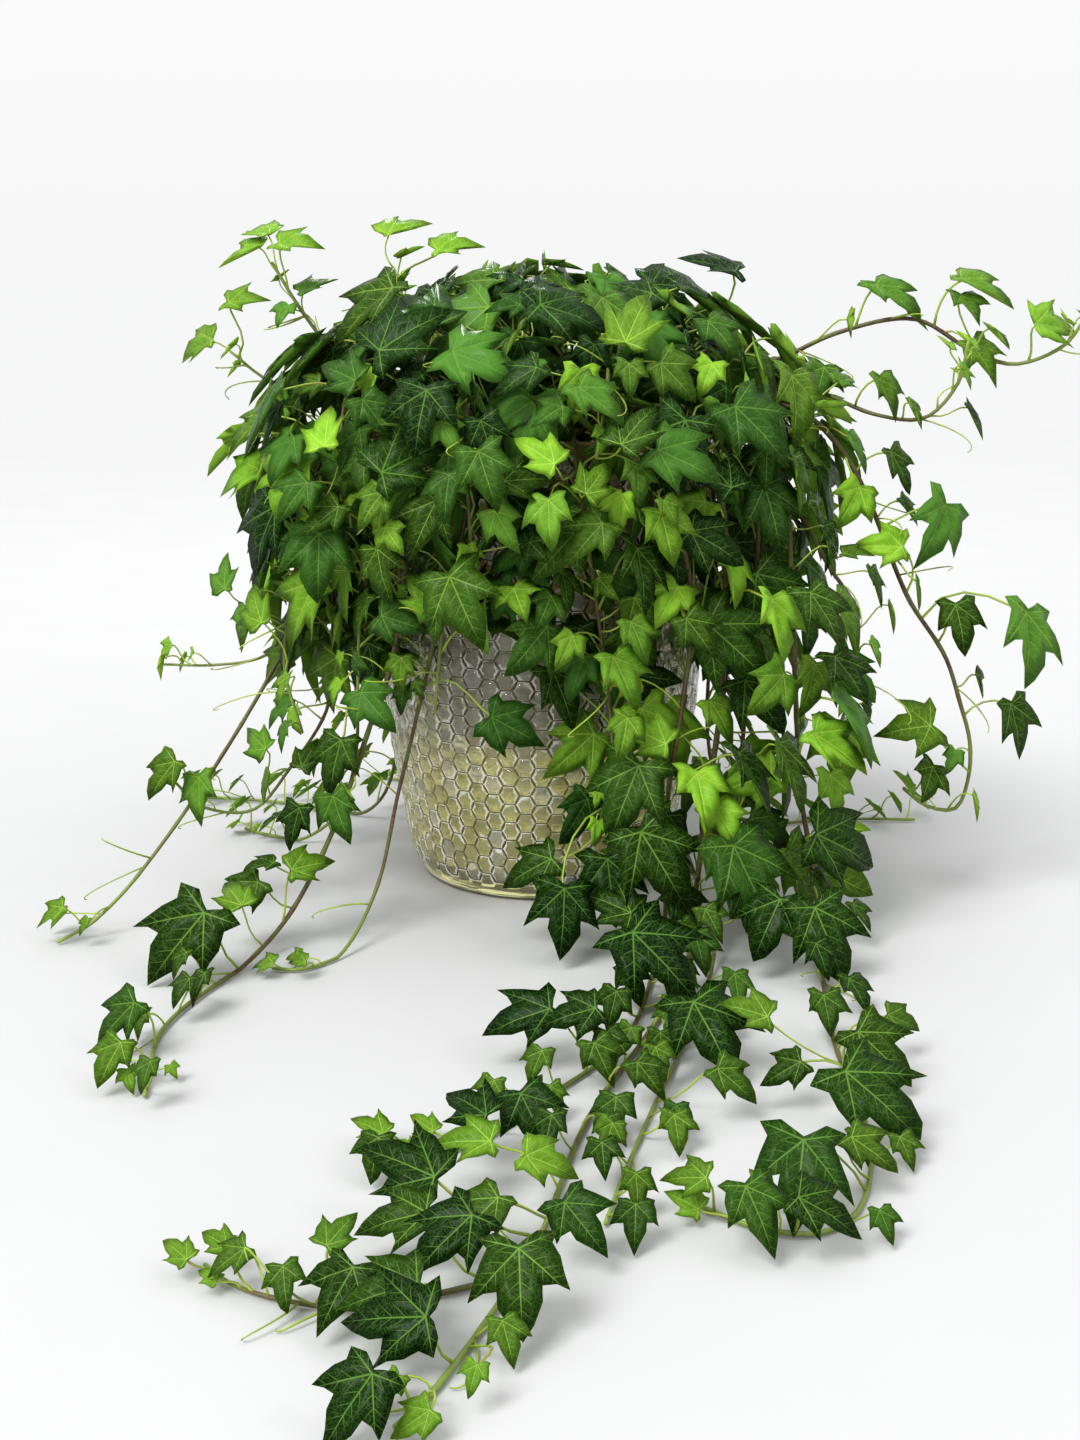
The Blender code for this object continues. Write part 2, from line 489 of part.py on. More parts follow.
def part_routes(routes, rounds=40):
    """Stems that come too near each other are moved apart, a little at a time, with their roots kept."""
    names = list(routes)
    stacked = np.concatenate([routes[n][1] for n in names])
    radius = np.concatenate([np.full(len(routes[n][1]), routes[n][0]) for n in names])
    owner = np.concatenate([np.full(len(routes[n][1]), k) for k, n in enumerate(names)])
    order = np.concatenate([np.arange(len(routes[n][1])) for n in names])
    fixed = order < UPRIGHT_POINTS
    for _ in range(rounds):
        nearby = KDTree(len(stacked))
        for k, place in enumerate(stacked):
            nearby.insert(place, k)
        nearby.balance()
        push = np.zeros_like(stacked)
        for k, place in enumerate(stacked):
            for other, index, far in nearby.find_range(place, STEM_CLEARANCE):
                if owner[index] != owner[k]:
                    push[k] += (place - np.array(other)) * (0.5 * (STEM_CLEARANCE - far) / (far + 1e-9))
        inner = (owner[:-2] == owner[2:])[:, None]
        smooth = 0.25 * push[:-2] + 0.5 * push[1:-1] + 0.25 * push[2:]
        push[1:-1] = np.where(inner, smooth, push[1:-1])
        push[fixed] = 0.0
        length = np.linalg.norm(push, axis=1, keepdims=True) + 1e-12
        stacked = stacked + push * np.minimum(1.0, 0.003 / length)
        stacked[:, 2] = np.where(fixed, stacked[:, 2], np.maximum(stacked[:, 2], radius + FLOOR_REST))
        stacked = clear_of_planter(stacked, radius, fixed)
    return {n: (routes[n][0], stacked[owner == k]) for k, n in enumerate(names)}


def clear_of_planter(points, radius, fixed):
    """Points beside the glass are moved out to clear it, and points over its rim are lifted."""
    across = np.hypot(points[:, 0], points[:, 1])
    heights = [h for h, _ in PLANTER_PROFILE]
    radii = [r for _, r in PLANTER_PROFILE]
    least = np.interp(points[:, 2], heights, radii) + CELL_RELIEF + radius + 0.003
    rim_low, rim_high = 0.092, 0.104
    beside = ~fixed & (across > rim_high) & (points[:, 2] < PLANTER_HEIGHT + 0.004)
    grow = np.where(beside, np.maximum(1.0, least / np.maximum(across, 1e-6)), 1.0)
    over = ~fixed & (across > rim_low) & (across <= rim_high) & (points[:, 2] > PLANTER_HEIGHT - 0.012)
    points = points * np.stack([grow, grow, np.ones_like(grow)], axis=1)
    points[:, 2] = np.where(over, np.maximum(points[:, 2], PLANTER_HEIGHT + radius + 0.004), points[:, 2])
    return points


def thin_route(points, rooted):
    """Indices of the points that a tube needs: more where it bends, few where it runs straight."""
    heading = np.diff(points, axis=0)
    length = np.linalg.norm(heading, axis=1)
    heading = heading / length[:, None]
    kept, bend, span = [0], 0.0, 0.0
    if rooted:
        kept.append(UPRIGHT_POINTS - 1)
    for i in range(kept[-1] + 1, len(points) - 1):
        bend += math.acos(max(-1.0, min(1.0, float(heading[i - 1] @ heading[i]))))
        span += length[i - 1]
        if bend > MOST_BEND or span > MOST_SPAN:
            kept.append(i)
            bend, span = 0.0, 0.0
    return kept + [len(points) - 1]


def make_stems():
    """Stems as few-pointed lines, each with its radii, and the sprig on its parent."""
    stems = {}
    for name, (radius, dense) in part_routes(rooted_routes()).items():
        kept = thin_route(dense, True)
        taper = np.linspace(1.0, STEM_TIP_SHARE, len(dense))[kept]
        stems[name] = {"node": name, "radius": radius, "points": dense[kept], "radii": radius * taper}
    parent, radius, route = SPRIG
    spine = stems[parent]["points"]
    start = spine[np.argmin(np.linalg.norm(spine - np.asarray(route[0]), axis=1))]
    dense = smooth_route([tuple(start)] + list(route[1:]), ROUTE_STEP)
    dense[1:, 2] = np.maximum(dense[1:, 2], radius + FLOOR_REST)
    kept = thin_route(dense, False)
    radii = radius * np.linspace(1.0, STEM_TIP_SHARE, len(dense))[kept]
    branch = {"node": parent, "radius": radius, "points": dense[kept], "radii": radii}
    return stems, {"sprig": branch}


def tube(points, radii, sides=6, swell=1.18):
    """Points and faces of a plain tube round a line, a little larger than the stem, for clearance."""
    heading = np.gradient(points, axis=0)
    heading = heading / np.linalg.norm(heading, axis=1)[:, None]
    side = np.cross(heading, (0.0, 0.0, 1.0))
    weak = np.linalg.norm(side, axis=1) < 0.05
    side[weak] = np.cross(heading[weak], (0.0, 1.0, 0.0))
    side = side / np.linalg.norm(side, axis=1)[:, None]
    up = np.cross(side, heading)
    angles = np.arange(sides) * (2.0 * math.pi / sides)
    reach = (np.asarray(radii) * swell + LEAF_GAP)[:, None, None]
    spread = np.cos(angles)[None, :, None] * side[:, None, :] + np.sin(angles)[None, :, None] * up[:, None, :]
    rings = (points[:, None, :] + reach * spread).reshape(-1, 3)
    faces = []
    for k in range(len(points) - 1):
        for i in range(sides):
            j = (i + 1) % sides
            a, b = k * sides, (k + 1) * sides
            faces += [(a + i, a + j, b + j), (a + i, b + j, b + i)]
    return rings, faces


def planter_guard():
    """A plain turned surface that leaves keep clear of: the glass with its facets, its rim and the soil."""
    outline = [(r + CELL_RELIEF + LEAF_GAP, h) for h, r in PLANTER_PROFILE]
    outline[-1] = (outline[-1][0], PLANTER_HEIGHT + LEAF_GAP)
    outline += [(planter_radius(PLANTER_HEIGHT) - PLANTER_WALL - LEAF_GAP, PLANTER_HEIGHT + LEAF_GAP)]
    outline += [(NURSERY_RIM_RADIUS - 2.0 * NURSERY_WALL, NURSERY_RIM_TOP), (0.090, SOIL_TOP + SOIL_CROWN)]
    outline += [(0.001, SOIL_TOP + 2.0 * SOIL_CROWN)]
    rings = np.concatenate([circle(r, z, CELL_POINTS) for r, z in outline])
    faces = []
    for k in range(len(outline) - 1):
        a, b = k * CELL_POINTS, (k + 1) * CELL_POINTS
        for i in range(CELL_POINTS):
            j = (i + 1) % CELL_POINTS
            faces += [(a + i, a + j, b + j), (a + i, b + j, b + i)]
    return rings, faces


def tree_of(points, faces):
    return BVHTree.FromPolygons([tuple(p) for p in points], faces)


def unit(vector):
    return vector / max(1e-12, float(np.linalg.norm(vector)))


def blade_frame(normal, tip):
    """Across, along and normal axes of a blade, its along axis as near to tip as the normal lets it be."""
    normal = unit(normal)
    along = unit(tip - normal * float(tip @ normal))
    return np.cross(along, normal), along, normal


def blade_rise(across, along, fold, droop):
    """How far the blade stands above its plane: sides raised by the fold, lobes let down by the droop."""
    return fold * abs(across) - droop * (across * across + 0.8 * max(0.0, along) ** 2)


def leaf_shape(leaf, swell=0.0):
    """Points and faces of one closed leaf: three-sided stalk and lobed blade, and how many points are stalk."""
    across, along, normal = leaf["axes"]
    joint, length = leaf["joint"], leaf["length"]
    large = length >= FIVE_LOBES_FROM
    half = FIVE_LOBES if large else THREE_LOBES
    half_faces = FIVE_LOBE_FACES if large else THREE_LOBE_FACES
    grow = length + swell

    def on_blade(u, v, drop):
        rise = blade_rise(u, v, leaf["fold"], leaf["droop"])
        return joint + grow * (u * across + v * along + rise * normal) - drop * normal

    outline = [(u, v) for u, v in half] + [(0.0, 1.0)] + [(-u, v) for u, v in reversed(half)]
    rim = len(outline)
    low = BLADE_THICKNESS + swell
    top = [on_blade(u, v, -swell) for u, v in outline]
    under = [on_blade(u, v, low) for u, v in outline]
    wide = JOINT_HALF_WIDTH + swell
    section = [swell * normal - wide * across, swell * normal + wide * across, leaf["keel"] * along - low * normal]
    middle = sum(section) / 3.0
    loops = [[joint + corner for corner in section]]
    for k, place in enumerate(reversed(leaf["stalk"][:-1])):
        share = leaf["root_share"] if k == len(leaf["stalk"]) - 2 else 1.0
        loops.insert(0, [place + share * (corner - middle) for corner in section])
    points = [p for loop in loops for p in loop] + top + under
    faces = [(1, 0, 2)]
    for a in range(0, 3 * len(loops) - 3, 3):
        faces += [(a, a + 1, a + 4, a + 3), (a + 1, a + 2, a + 5, a + 4), (a + 2, a, a + 3, a + 5)]
    left, right, base = 3 * len(loops) - 3, 3 * len(loops) - 2, 3 * len(loops) - 1
    first = 3 * len(loops)
    tip = first + len(half)

    def top_point(k, mirrored):
        if k == 0:
            return left if mirrored else right
        return first + rim - k if mirrored and k <= len(half) else first + k - 1

    def under_point(k, mirrored):
        return base if k == 0 else top_point(k, mirrored) + rim

    for a, b, c in half_faces:
        faces.append((top_point(a, False), top_point(b, False), top_point(c, False)))
        faces.append((top_point(c, True), top_point(b, True), top_point(a, True)))
        faces.append((under_point(c, False), under_point(b, False), under_point(a, False)))
        faces.append((under_point(a, True), under_point(b, True), under_point(c, True)))
    faces.append((left, right, tip))
    edge = [right] + list(range(first, first + rim)) + [left]
    edge_under = [base] + list(range(first + rim, first + 2 * rim)) + [base]
    for i in range(len(edge) - 1):
        faces.append((edge[i], edge_under[i], edge_under[i + 1], edge[i + 1]))
    return np.array(points), faces, first


def canopy_lean(point):
    """How steeply a leaf at this point looks up, in radians: flat at the top of the mound, upright below."""
    heights = (0.03, 0.07, 0.20, 0.26, 0.30, 0.34, 0.37, 0.41)
    angles = (52.0, 30.0, 24.0, 28.0, 34.0, 44.0, 56.0, 60.0)
    return math.radians(float(np.interp(point[2], heights, angles)))


def leaf_normal(point, front, draw):
    """Upwards and outwards; a leaf placed from the photograph also turns to the front."""
    outward = unit(np.array([point[0], point[1], 0.0]))
    if front:
        outward = unit(0.45 * outward + np.array([0.0, -0.75, 0.0]))
    turn = draw.uniform(-0.35, 0.35)
    c, s = math.cos(turn), math.sin(turn)
    outward = np.array([c * outward[0] - s * outward[1], s * outward[0] + c * outward[1], 0.0])
    lean = canopy_lean(point) + draw.uniform(-0.20, 0.20)
    return outward * math.cos(lean) + np.array([0.0, 0.0, math.sin(lean)])


def stalk_line(root, joint, normal, reach):
    """The stalk from the stem's middle to the blade, bowed up and out where it is long."""
    if reach < LONG_STALK:
        return [root, joint]
    middle = 0.5 * (root + joint) + 0.16 * reach * np.array([0.0, 0.0, 1.0]) - 0.10 * reach * normal
    return [root, middle, joint]


def keel_for(axes, line):
    """How far forward the stalk's lower edge meets the blade, or None if the stalk would be too flat."""
    for keel in (JOINT_KEEL, STEEP_KEEL):
        across_section = unit(keel * axes[2] + BLADE_THICKNESS * axes[1])
        if min(float(unit(b - a) @ across_section) for a, b in zip(line[:-1], line[1:])) > LEAST_STALK_SHARE:
            return keel
    return None


class Placer:
    """Sets leaves one after another, each clear of the pot, the stems and the leaves before it."""

    def __init__(self, lines):
        self.lines = lines
        self.guard = tree_of(*planter_guard())
        self.tubes = {n: tree_of(*tube(line["points"], line["radii"])) for n, line in lines.items()}
        self.leaves = []
        self.trees = []
        self.boxes = []
        self.centres = []
        self.spots = []
        for name, line in lines.items():
            points = line["points"]
            chord = np.linalg.norm(np.diff(points, axis=0), axis=1)
            reach = np.concatenate([[0.0], np.cumsum(chord)])
            start = 0.045 if line["node"] == name else 0.012
            for at in np.arange(start, reach[-1] - 0.001, 0.006):
                spot = np.array([np.interp(at, reach, points[:, i]) for i in range(3)])
                ahead = np.array([np.interp(at + 0.004, reach, points[:, i]) for i in range(3)])
                self.spots.append((name, at, spot, unit(ahead - spot), float(np.interp(at, reach, line["radii"]))))
        self.spot_places = np.array([s[2] for s in self.spots])

    def roots_for(self, joint, normal, stalk):
        """The nearest fitting places on stems, those behind the blade before the others."""
        away = joint[None, :] - self.spot_places
        far = np.linalg.norm(away, axis=1)
        behind = (away @ normal) / np.maximum(far, 1e-6)
        cost = np.abs(far - stalk) + 0.020 * (1.0 - behind) + np.where(far < 0.007, 1.0, 0.0)
        order = np.argsort(cost, kind="stable")
        chosen = []
        for k in order[:60]:
            if cost[k] > 0.075 or behind[k] < -0.35:
                continue
            if all(np.linalg.norm(self.spot_places[k] - self.spot_places[c]) > 0.010 for c in chosen):
                chosen.append(int(k))
            if len(chosen) == 5:
                break
        return chosen

    def crowded(self, point, gap):
        return any(math.dist(point, centre) < gap for centre in self.centres)

    def fits(self, leaf):
        points, faces, stalk_points = leaf_shape(leaf, LEAF_GAP)
        if points[:, 2].min() < FLOOR_REST:
            return None
        tree = tree_of(points, faces)
        blade = [f for f in faces if min(f) >= stalk_points - 3]
        if self.guard.overlap(tree):
            return None
        for name, other in self.tubes.items():
            if name == leaf["stem"]:
                if other.overlap(tree_of(points, blade)):
                    return None
            elif other.overlap(tree):
                return None
        low, high = points.min(axis=0), points.max(axis=0)
        for k, (other_low, other_high) in enumerate(self.boxes):
            if (low < other_high).all() and (other_low < high).all() and self.trees[k].overlap(tree):
                return None
        return tree, low, high

    def try_leaf(self, joint, length, tip, youth, front, seed, tries=14, stalk=None):
        """One leaf near the wished place, with up to so many small changes of place, turn and lean."""
        draw = random.Random(seed)
        joint = np.asarray(joint, float)
        for attempt in range(tries):
            loose = 0.0015 + 0.0009 * attempt
            moved = joint + np.array([draw.uniform(-loose, loose) for _ in range(3)])
            normal = leaf_normal(moved, front, draw)
            turn = draw.uniform(-0.16, 0.16) * (1.0 + 0.25 * attempt)
            roots = self.roots_for(moved, normal, stalk or 0.5 * length + 0.006)
            if not roots:
                continue
            name, at, root, heading, stem_radius = self.spots[roots[min(len(roots) - 1, attempt // 3)]]
            wished = tip(moved, root)
            axes = blade_frame(normal, wished)
            across, along = axes[0], axes[1]
            along = math.cos(turn) * along + math.sin(turn) * across
            axes = blade_frame(axes[2], along)
            reach = float(np.linalg.norm(moved - root))
            line = stalk_line(root, moved, axes[2], reach)
            keel = keel_for(axes, line)
            if keel is None:
                continue
            leaf = {
                "stem": name, "node": self.lines[name]["node"], "at": at, "joint": moved, "axes": axes,
                "length": length, "stalk": line, "keel": keel,
                "root_share": min(1.0, ROOT_SHARE * stem_radius / STALK_RADIUS), "fold": 0.10 + 0.22 * youth + draw.uniform(0.0, 0.10),
                "droop": 0.12 + draw.uniform(0.0, 0.16), "youth": youth,
            }
            found = self.fits(leaf)
            if found:
                self.leaves.append(leaf)
                self.trees.append(found[0])
                self.boxes.append(found[1:])
                self.centres.append(moved + 0.4 * length * axes[1])
                return leaf
        return None


def seen_tip(roll):
    """A tip that points down, turned to the right by the roll as seen from the front."""
    angle = math.radians(roll)
    wished = np.array([math.sin(angle), -0.25 * math.cos(angle), -math.cos(angle)])
    return lambda joint, root: wished


def hanging_tip(roll):
    """A tip that hangs outwards and away from its stem, turned by the roll round the upright."""
    c, s = math.cos(roll), math.sin(roll)

    def wished(joint, root):
        outward = unit(np.array([joint[0], joint[1], 0.0]))
        away = unit(np.array([joint[0] - root[0], joint[1] - root[1], 0.0]))
        level = unit(outward + 0.8 * away)
        turned = np.array([c * level[0] - s * level[1], s * level[0] + c * level[1], 0.0])
        return 0.75 * turned + np.array([0.0, 0.0, -0.9])

    return wished


def canopy_points():
    """Points spread evenly over the dome and the curtain, by equal area and the golden angle."""
    profile = [(0.0, CANOPY[0][0] + 0.004)] + [(r, z) for z, r in CANOPY]
    area = [0.0]
    for (r0, z0), (r1, z1) in zip(profile[:-1], profile[1:]):
        area.append(area[-1] + math.pi * (r0 + r1) * math.hypot(r1 - r0, z1 - z0))
    radii, heights = [r for r, _ in profile], [z for _, z in profile]
    found = []
    for k in range(CANOPY_LEAVES):
        at = area[-1] * (k + 0.5) / CANOPY_LEAVES
        azimuth = (k * GOLDEN_ANGLE) % (2.0 * math.pi) - math.pi
        radius, height = float(np.interp(at, area, radii)), float(np.interp(at, area, heights))
        window = GLASS_WINDOW[0] < azimuth < GLASS_WINDOW[1] and height < GLASS_WINDOW[2]
        if height > CURTAIN_FOOT and not window:
            found.append((k, (CANOPY_WIDTH * radius * math.cos(azimuth), radius * math.sin(azimuth), height)))
    return found


def place_leaves(lines):
    """The leaves seen in the photograph, then the rest of the canopy, then leaves along the bare trails."""
    placer = Placer(lines)
    for k, (x, y, z, length, roll, youth) in enumerate(SEEN_LEAVES):
        placer.try_leaf((x, y, z), length, seen_tip(roll), youth, True, 100 + k, tries=24)
    for k, point in canopy_points():
        if placer.crowded(point, CROWN_GAP if point[2] > CROWN_HEIGHT else CURTAIN_GAP):
            continue
        draw = random.Random(5000 + k)
        length = draw.uniform(0.038, 0.050)
        youth = draw.choice((0.1, 0.15, 0.2, 0.3, 0.6, 0.8))
        placer.try_leaf(point, length, hanging_tip(draw.uniform(-0.5, 0.5)), youth, False, 6000 + k)
    fill_trails(placer)
    return placer.leaves


def fill_trails(placer, spacing=0.074):
    """Leaves by turns on one side and the other of every stretch of stem that has none yet."""
    for number, (name, line) in enumerate(placer.lines.items()):
        if name in BARE_STEMS:
            continue
        spots = [s for s in placer.spots if s[0] == name]
        taken = [leaf["at"] for leaf in placer.leaves if leaf["stem"] == name]
        end = spots[-1][1] if spots else 0.0
        side = 1.0
        for k, (_, at, spot, heading, _) in enumerate(spots):
            hidden = spot[2] > 0.20 and math.hypot(spot[0], spot[1]) < 0.155
            if hidden or any(abs(at - other) < 0.5 * spacing for other in taken):
                continue
            draw = random.Random(9000 + 100 * number + k)
            toward_tip = at / end
            length = (0.036 - 0.016 * toward_tip) * draw.uniform(0.85, 1.1)
            level = unit(np.cross(heading, leaf_normal(spot, False, draw)))
            lift = unit(leaf_normal(spot, False, draw) + 0.9 * side * level + 0.4 * heading)
            stalk = 0.014 + 0.35 * length
            joint = spot + stalk * lift + np.array([0.0, 0.0, 0.006 if spot[2] < 0.03 else 0.0])
            youth = min(1.0, 0.15 + 0.6 * toward_tip * draw.random())
            tip = hanging_tip(0.4 * side + draw.uniform(-0.3, 0.3))
            if placer.try_leaf(joint, length, tip, youth, False, 20000 + 100 * number + k, 6, stalk):
                taken.append(at)
                side = -side


def stem_mesh(name, line, collection):
    """A tube along the stem's points: a curve with a bevel, made a mesh with its caps welded on."""
    curve = bpy.data.curves.new(name, "CURVE")
    curve.dimensions = "3D"
    curve.bevel_depth = 0.001
    curve.bevel_resolution = STEM_SIDES_RESOLUTION
    curve.use_fill_caps = True
    spline = curve.splines.new("POLY")
    spline.points.add(len(line["points"]) - 1)
    for point, place, radius in zip(spline.points, line["points"], line["radii"]):
        point.co = (*place, 1.0)
        point.radius = radius / 0.001
    bevelled = bpy.data.objects.new(name, curve)
    collection.objects.link(bevelled)
    bpy.context.view_layer.update()
    evaluated = bevelled.evaluated_get(bpy.context.evaluated_depsgraph_get())
    mesh = bpy.data.meshes.new_from_object(evaluated)
    bpy.data.objects.remove(bevelled, do_unlink=True)
    shape = bmesh.new()
    shape.from_mesh(mesh)
    bmesh.ops.remove_doubles(shape, verts=shape.verts, dist=0.00001)
    shape.to_mesh(mesh)
    shape.free()
    obj = bpy.data.objects.new(name, mesh)
    collection.objects.link(obj)
    return obj


def join_to(obj, pieces):
    """One Boolean union of the stem with everything in the collection, applied, and the pieces removed.

    The solver is MANIFOLD, because EXACT leaves a doubled edge in some of the stems.
    """
    union = obj.modifiers.new("grown_together", "BOOLEAN")
    union.operation = "UNION"
    union.operand_type = "COLLECTION"
    union.collection = pieces
    union.solver = "MANIFOLD"
    bpy.context.view_layer.update()
    evaluated = obj.evaluated_get(bpy.context.evaluated_depsgraph_get())
    joined = bpy.data.meshes.new_from_object(evaluated)
    obj.modifiers.remove(union)
    obj.data = joined
    for piece in list(pieces.objects):
        bpy.data.objects.remove(piece, do_unlink=True)
    bpy.data.collections.remove(pieces)


def make_ivy(parts, stems, branches, leaves):
    green = material("ivy_green", LEAF_GREEN, 0.45)
    for name, line in stems.items():
        obj = stem_mesh(name, line, parts)
        pieces = new_collection(name + "_leaves")
        for branch_name, branch in branches.items():
            if branch["node"] == name:
                stem_mesh(branch_name, branch, pieces)
        for k, leaf in enumerate(leaf for leaf in leaves if leaf["node"] == name):
            points, faces, _ = leaf_shape(leaf)
            add_mesh(f"{name}_leaf_{k}", points, faces, pieces)
        if pieces.objects:
            join_to(obj, pieces)
        else:
            bpy.data.collections.remove(pieces)
        obj.data.materials.clear()
        obj.data.materials.append(green)


def main():
    clear_scene()
    parts = new_collection("potted_ivy")
    stems, branches = make_stems()
    leaves = place_leaves({**stems, **branches})
    make_glass_planter(parts)
    make_nursery_pot(parts)
    make_soil(parts, stems)
    make_ivy(parts, stems, branches, leaves)
    print("leaves", len(leaves))


main()
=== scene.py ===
"""Potted ivy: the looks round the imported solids, as a Blender add-on that is run as a script.

Metres, +Z up, -Y to the front. The ivy's leaves are set by the same rule and the same draws as in the solids, so
each fine leaf stands where its plain one does, and the smaller leaves of the real plant follow after them.
"""

import math
import random

import bpy
import numpy as np
from mathutils.bvhtree import BVHTree
from mathutils.kdtree import KDTree
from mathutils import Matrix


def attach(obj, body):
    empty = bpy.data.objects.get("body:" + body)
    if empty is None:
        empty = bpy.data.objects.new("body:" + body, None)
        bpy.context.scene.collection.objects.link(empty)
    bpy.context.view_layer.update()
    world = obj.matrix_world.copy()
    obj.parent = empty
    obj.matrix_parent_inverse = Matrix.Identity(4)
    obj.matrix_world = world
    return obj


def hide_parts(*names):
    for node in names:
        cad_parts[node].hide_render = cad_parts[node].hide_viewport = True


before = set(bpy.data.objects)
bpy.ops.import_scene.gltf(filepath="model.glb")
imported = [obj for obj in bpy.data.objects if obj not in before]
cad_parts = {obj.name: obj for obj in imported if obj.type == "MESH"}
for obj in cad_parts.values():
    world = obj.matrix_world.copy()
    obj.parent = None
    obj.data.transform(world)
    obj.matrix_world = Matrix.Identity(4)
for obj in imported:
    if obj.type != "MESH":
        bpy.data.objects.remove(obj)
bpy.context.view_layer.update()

bl_info = {
    "name": "Potted Ivy",
    "version": (1, 0, 0),
    "blender": (4, 5, 0),
    "location": "View3D > Sidebar > Potted Ivy",
    "description": "Builds trailing ivy in a honeycomb glass planter round its packed solids",
    "category": "Add Mesh",
}

BODY = "root"

# Glass planter, outer radius against height, as in the solids
PLANTER_HEIGHT = 0.285
PLANTER_PROFILE = (
    (0.000, 0.0750), (0.005, 0.0795), (0.024, 0.0855), (0.051, 0.0895),
    (0.080, 0.0955), (0.123, 0.0997), (0.194, 0.1028), (0.285, 0.1070),
)
PLANTER_WALL = 0.006
PLANTER_FLOOR = 0.012
CELL_RELIEF = 0.0024
GUARD_SIDES = 39
GRID_STEPS = (0.0, 0.15, 0.85)
GROOVE_SHARE = 0.17
LEAN_SHARE = 0.34
DOME_SHARE = 0.16
FOOT_BAND = 0.0125
LIP_BAND = 0.0085

# Nursery pot and soil
NURSERY_WALL = 0.0015
NURSERY_BOTTOM = (0.0700, 0.093)
NURSERY_SHOULDER = (0.0945, 0.251)
NURSERY_RIM_RADIUS = 0.0985
NURSERY_RIM_TOP = 0.268
SOIL_TOP = 0.256
SOIL_CROWN = 0.003
SOIL_GAP = 0.0003
ROOT_DEPTH = 0.009
ROOT_ZONE = 0.078

# Stems
STEM_TIP_SHARE = 0.62
STEM_CLEARANCE = 0.0075
ROUTE_STEP = 0.006
UPRIGHT_POINTS = 3
MOST_BEND = 0.58
MOST_SPAN = 0.085
FLOOR_REST = 0.0003
RIM_CROSSING = (0.1035, 0.302)
GOLDEN_ANGLE = math.pi * (3.0 - math.sqrt(5.0))
STEM_SIDES = 7

# Leaves, as in the solids
BLADE_THICKNESS = 0.0007
JOINT_HALF_WIDTH = 0.0009
JOINT_KEEL = 0.0010
STEEP_KEEL = 0.0018
LEAST_STALK_SHARE = 0.50
STALK_RADIUS = 0.00095
ROOT_SHARE = 0.60
FIVE_LOBES_FROM = 0.044
FIVE_LOBES = ((0.40, -0.24), (0.38, 0.04), (0.56, 0.38), (0.24, 0.46))
FIVE_LOBE_FACES = ((0, 1, 2), (0, 2, 4), (2, 3, 4), (0, 4, 5))
THREE_LOBES = ((0.36, -0.18), (0.52, 0.30), (0.23, 0.46))
THREE_LOBE_FACES = ((0, 1, 3), (1, 2, 3), (0, 3, 4))
LEAF_GAP = 0.0004
LONG_STALK = 0.032

# Half outline of the fine leaf, from the notch at its stalk round to its point, for an old and a young leaf
OLD_OUTLINE = (
    (0.085, -0.105), (0.245, -0.190), (0.470, -0.120), (0.350, 0.055), (0.440, 0.240), (0.490, 0.420),
    (0.552, 0.620), (0.385, 0.505), (0.228, 0.480), (0.232, 0.640), (0.125, 0.835),
)
YOUNG_OUTLINE = (
    (0.080, -0.080), (0.210, -0.150), (0.370, -0.115), (0.340, 0.020), (0.400, 0.170), (0.440, 0.320),
    (0.495, 0.480), (0.360, 0.425), (0.232, 0.440), (0.215, 0.610), (0.115, 0.815),
)
VEIN_ANGLES = (0.0, 0.73, 1.82)
BLADE_RINGS = (0.52, 1.0)
UNDER_DROP = 0.0007
STALK_SIDES = 4
STALK_STEPS = 5

# Outline of the leaf dome and of the curtain under it: radius against height, and its width against its depth
CANOPY = (
    (0.375, 0.040), (0.360, 0.100), (0.330, 0.148), (0.300, 0.170), (0.260, 0.175),
    (0.220, 0.160), (0.180, 0.150), (0.140, 0.142),
)
CANOPY_WIDTH = 1.06
CANOPY_LEAVES = 136
CROWN_HEIGHT = 0.330
CROWN_GAP = 0.024
CURTAIN_GAP = 0.031
CURTAIN_FOOT = 0.150
GLASS_WINDOW = (math.radians(-124.0), math.radians(-76.0), 0.215)

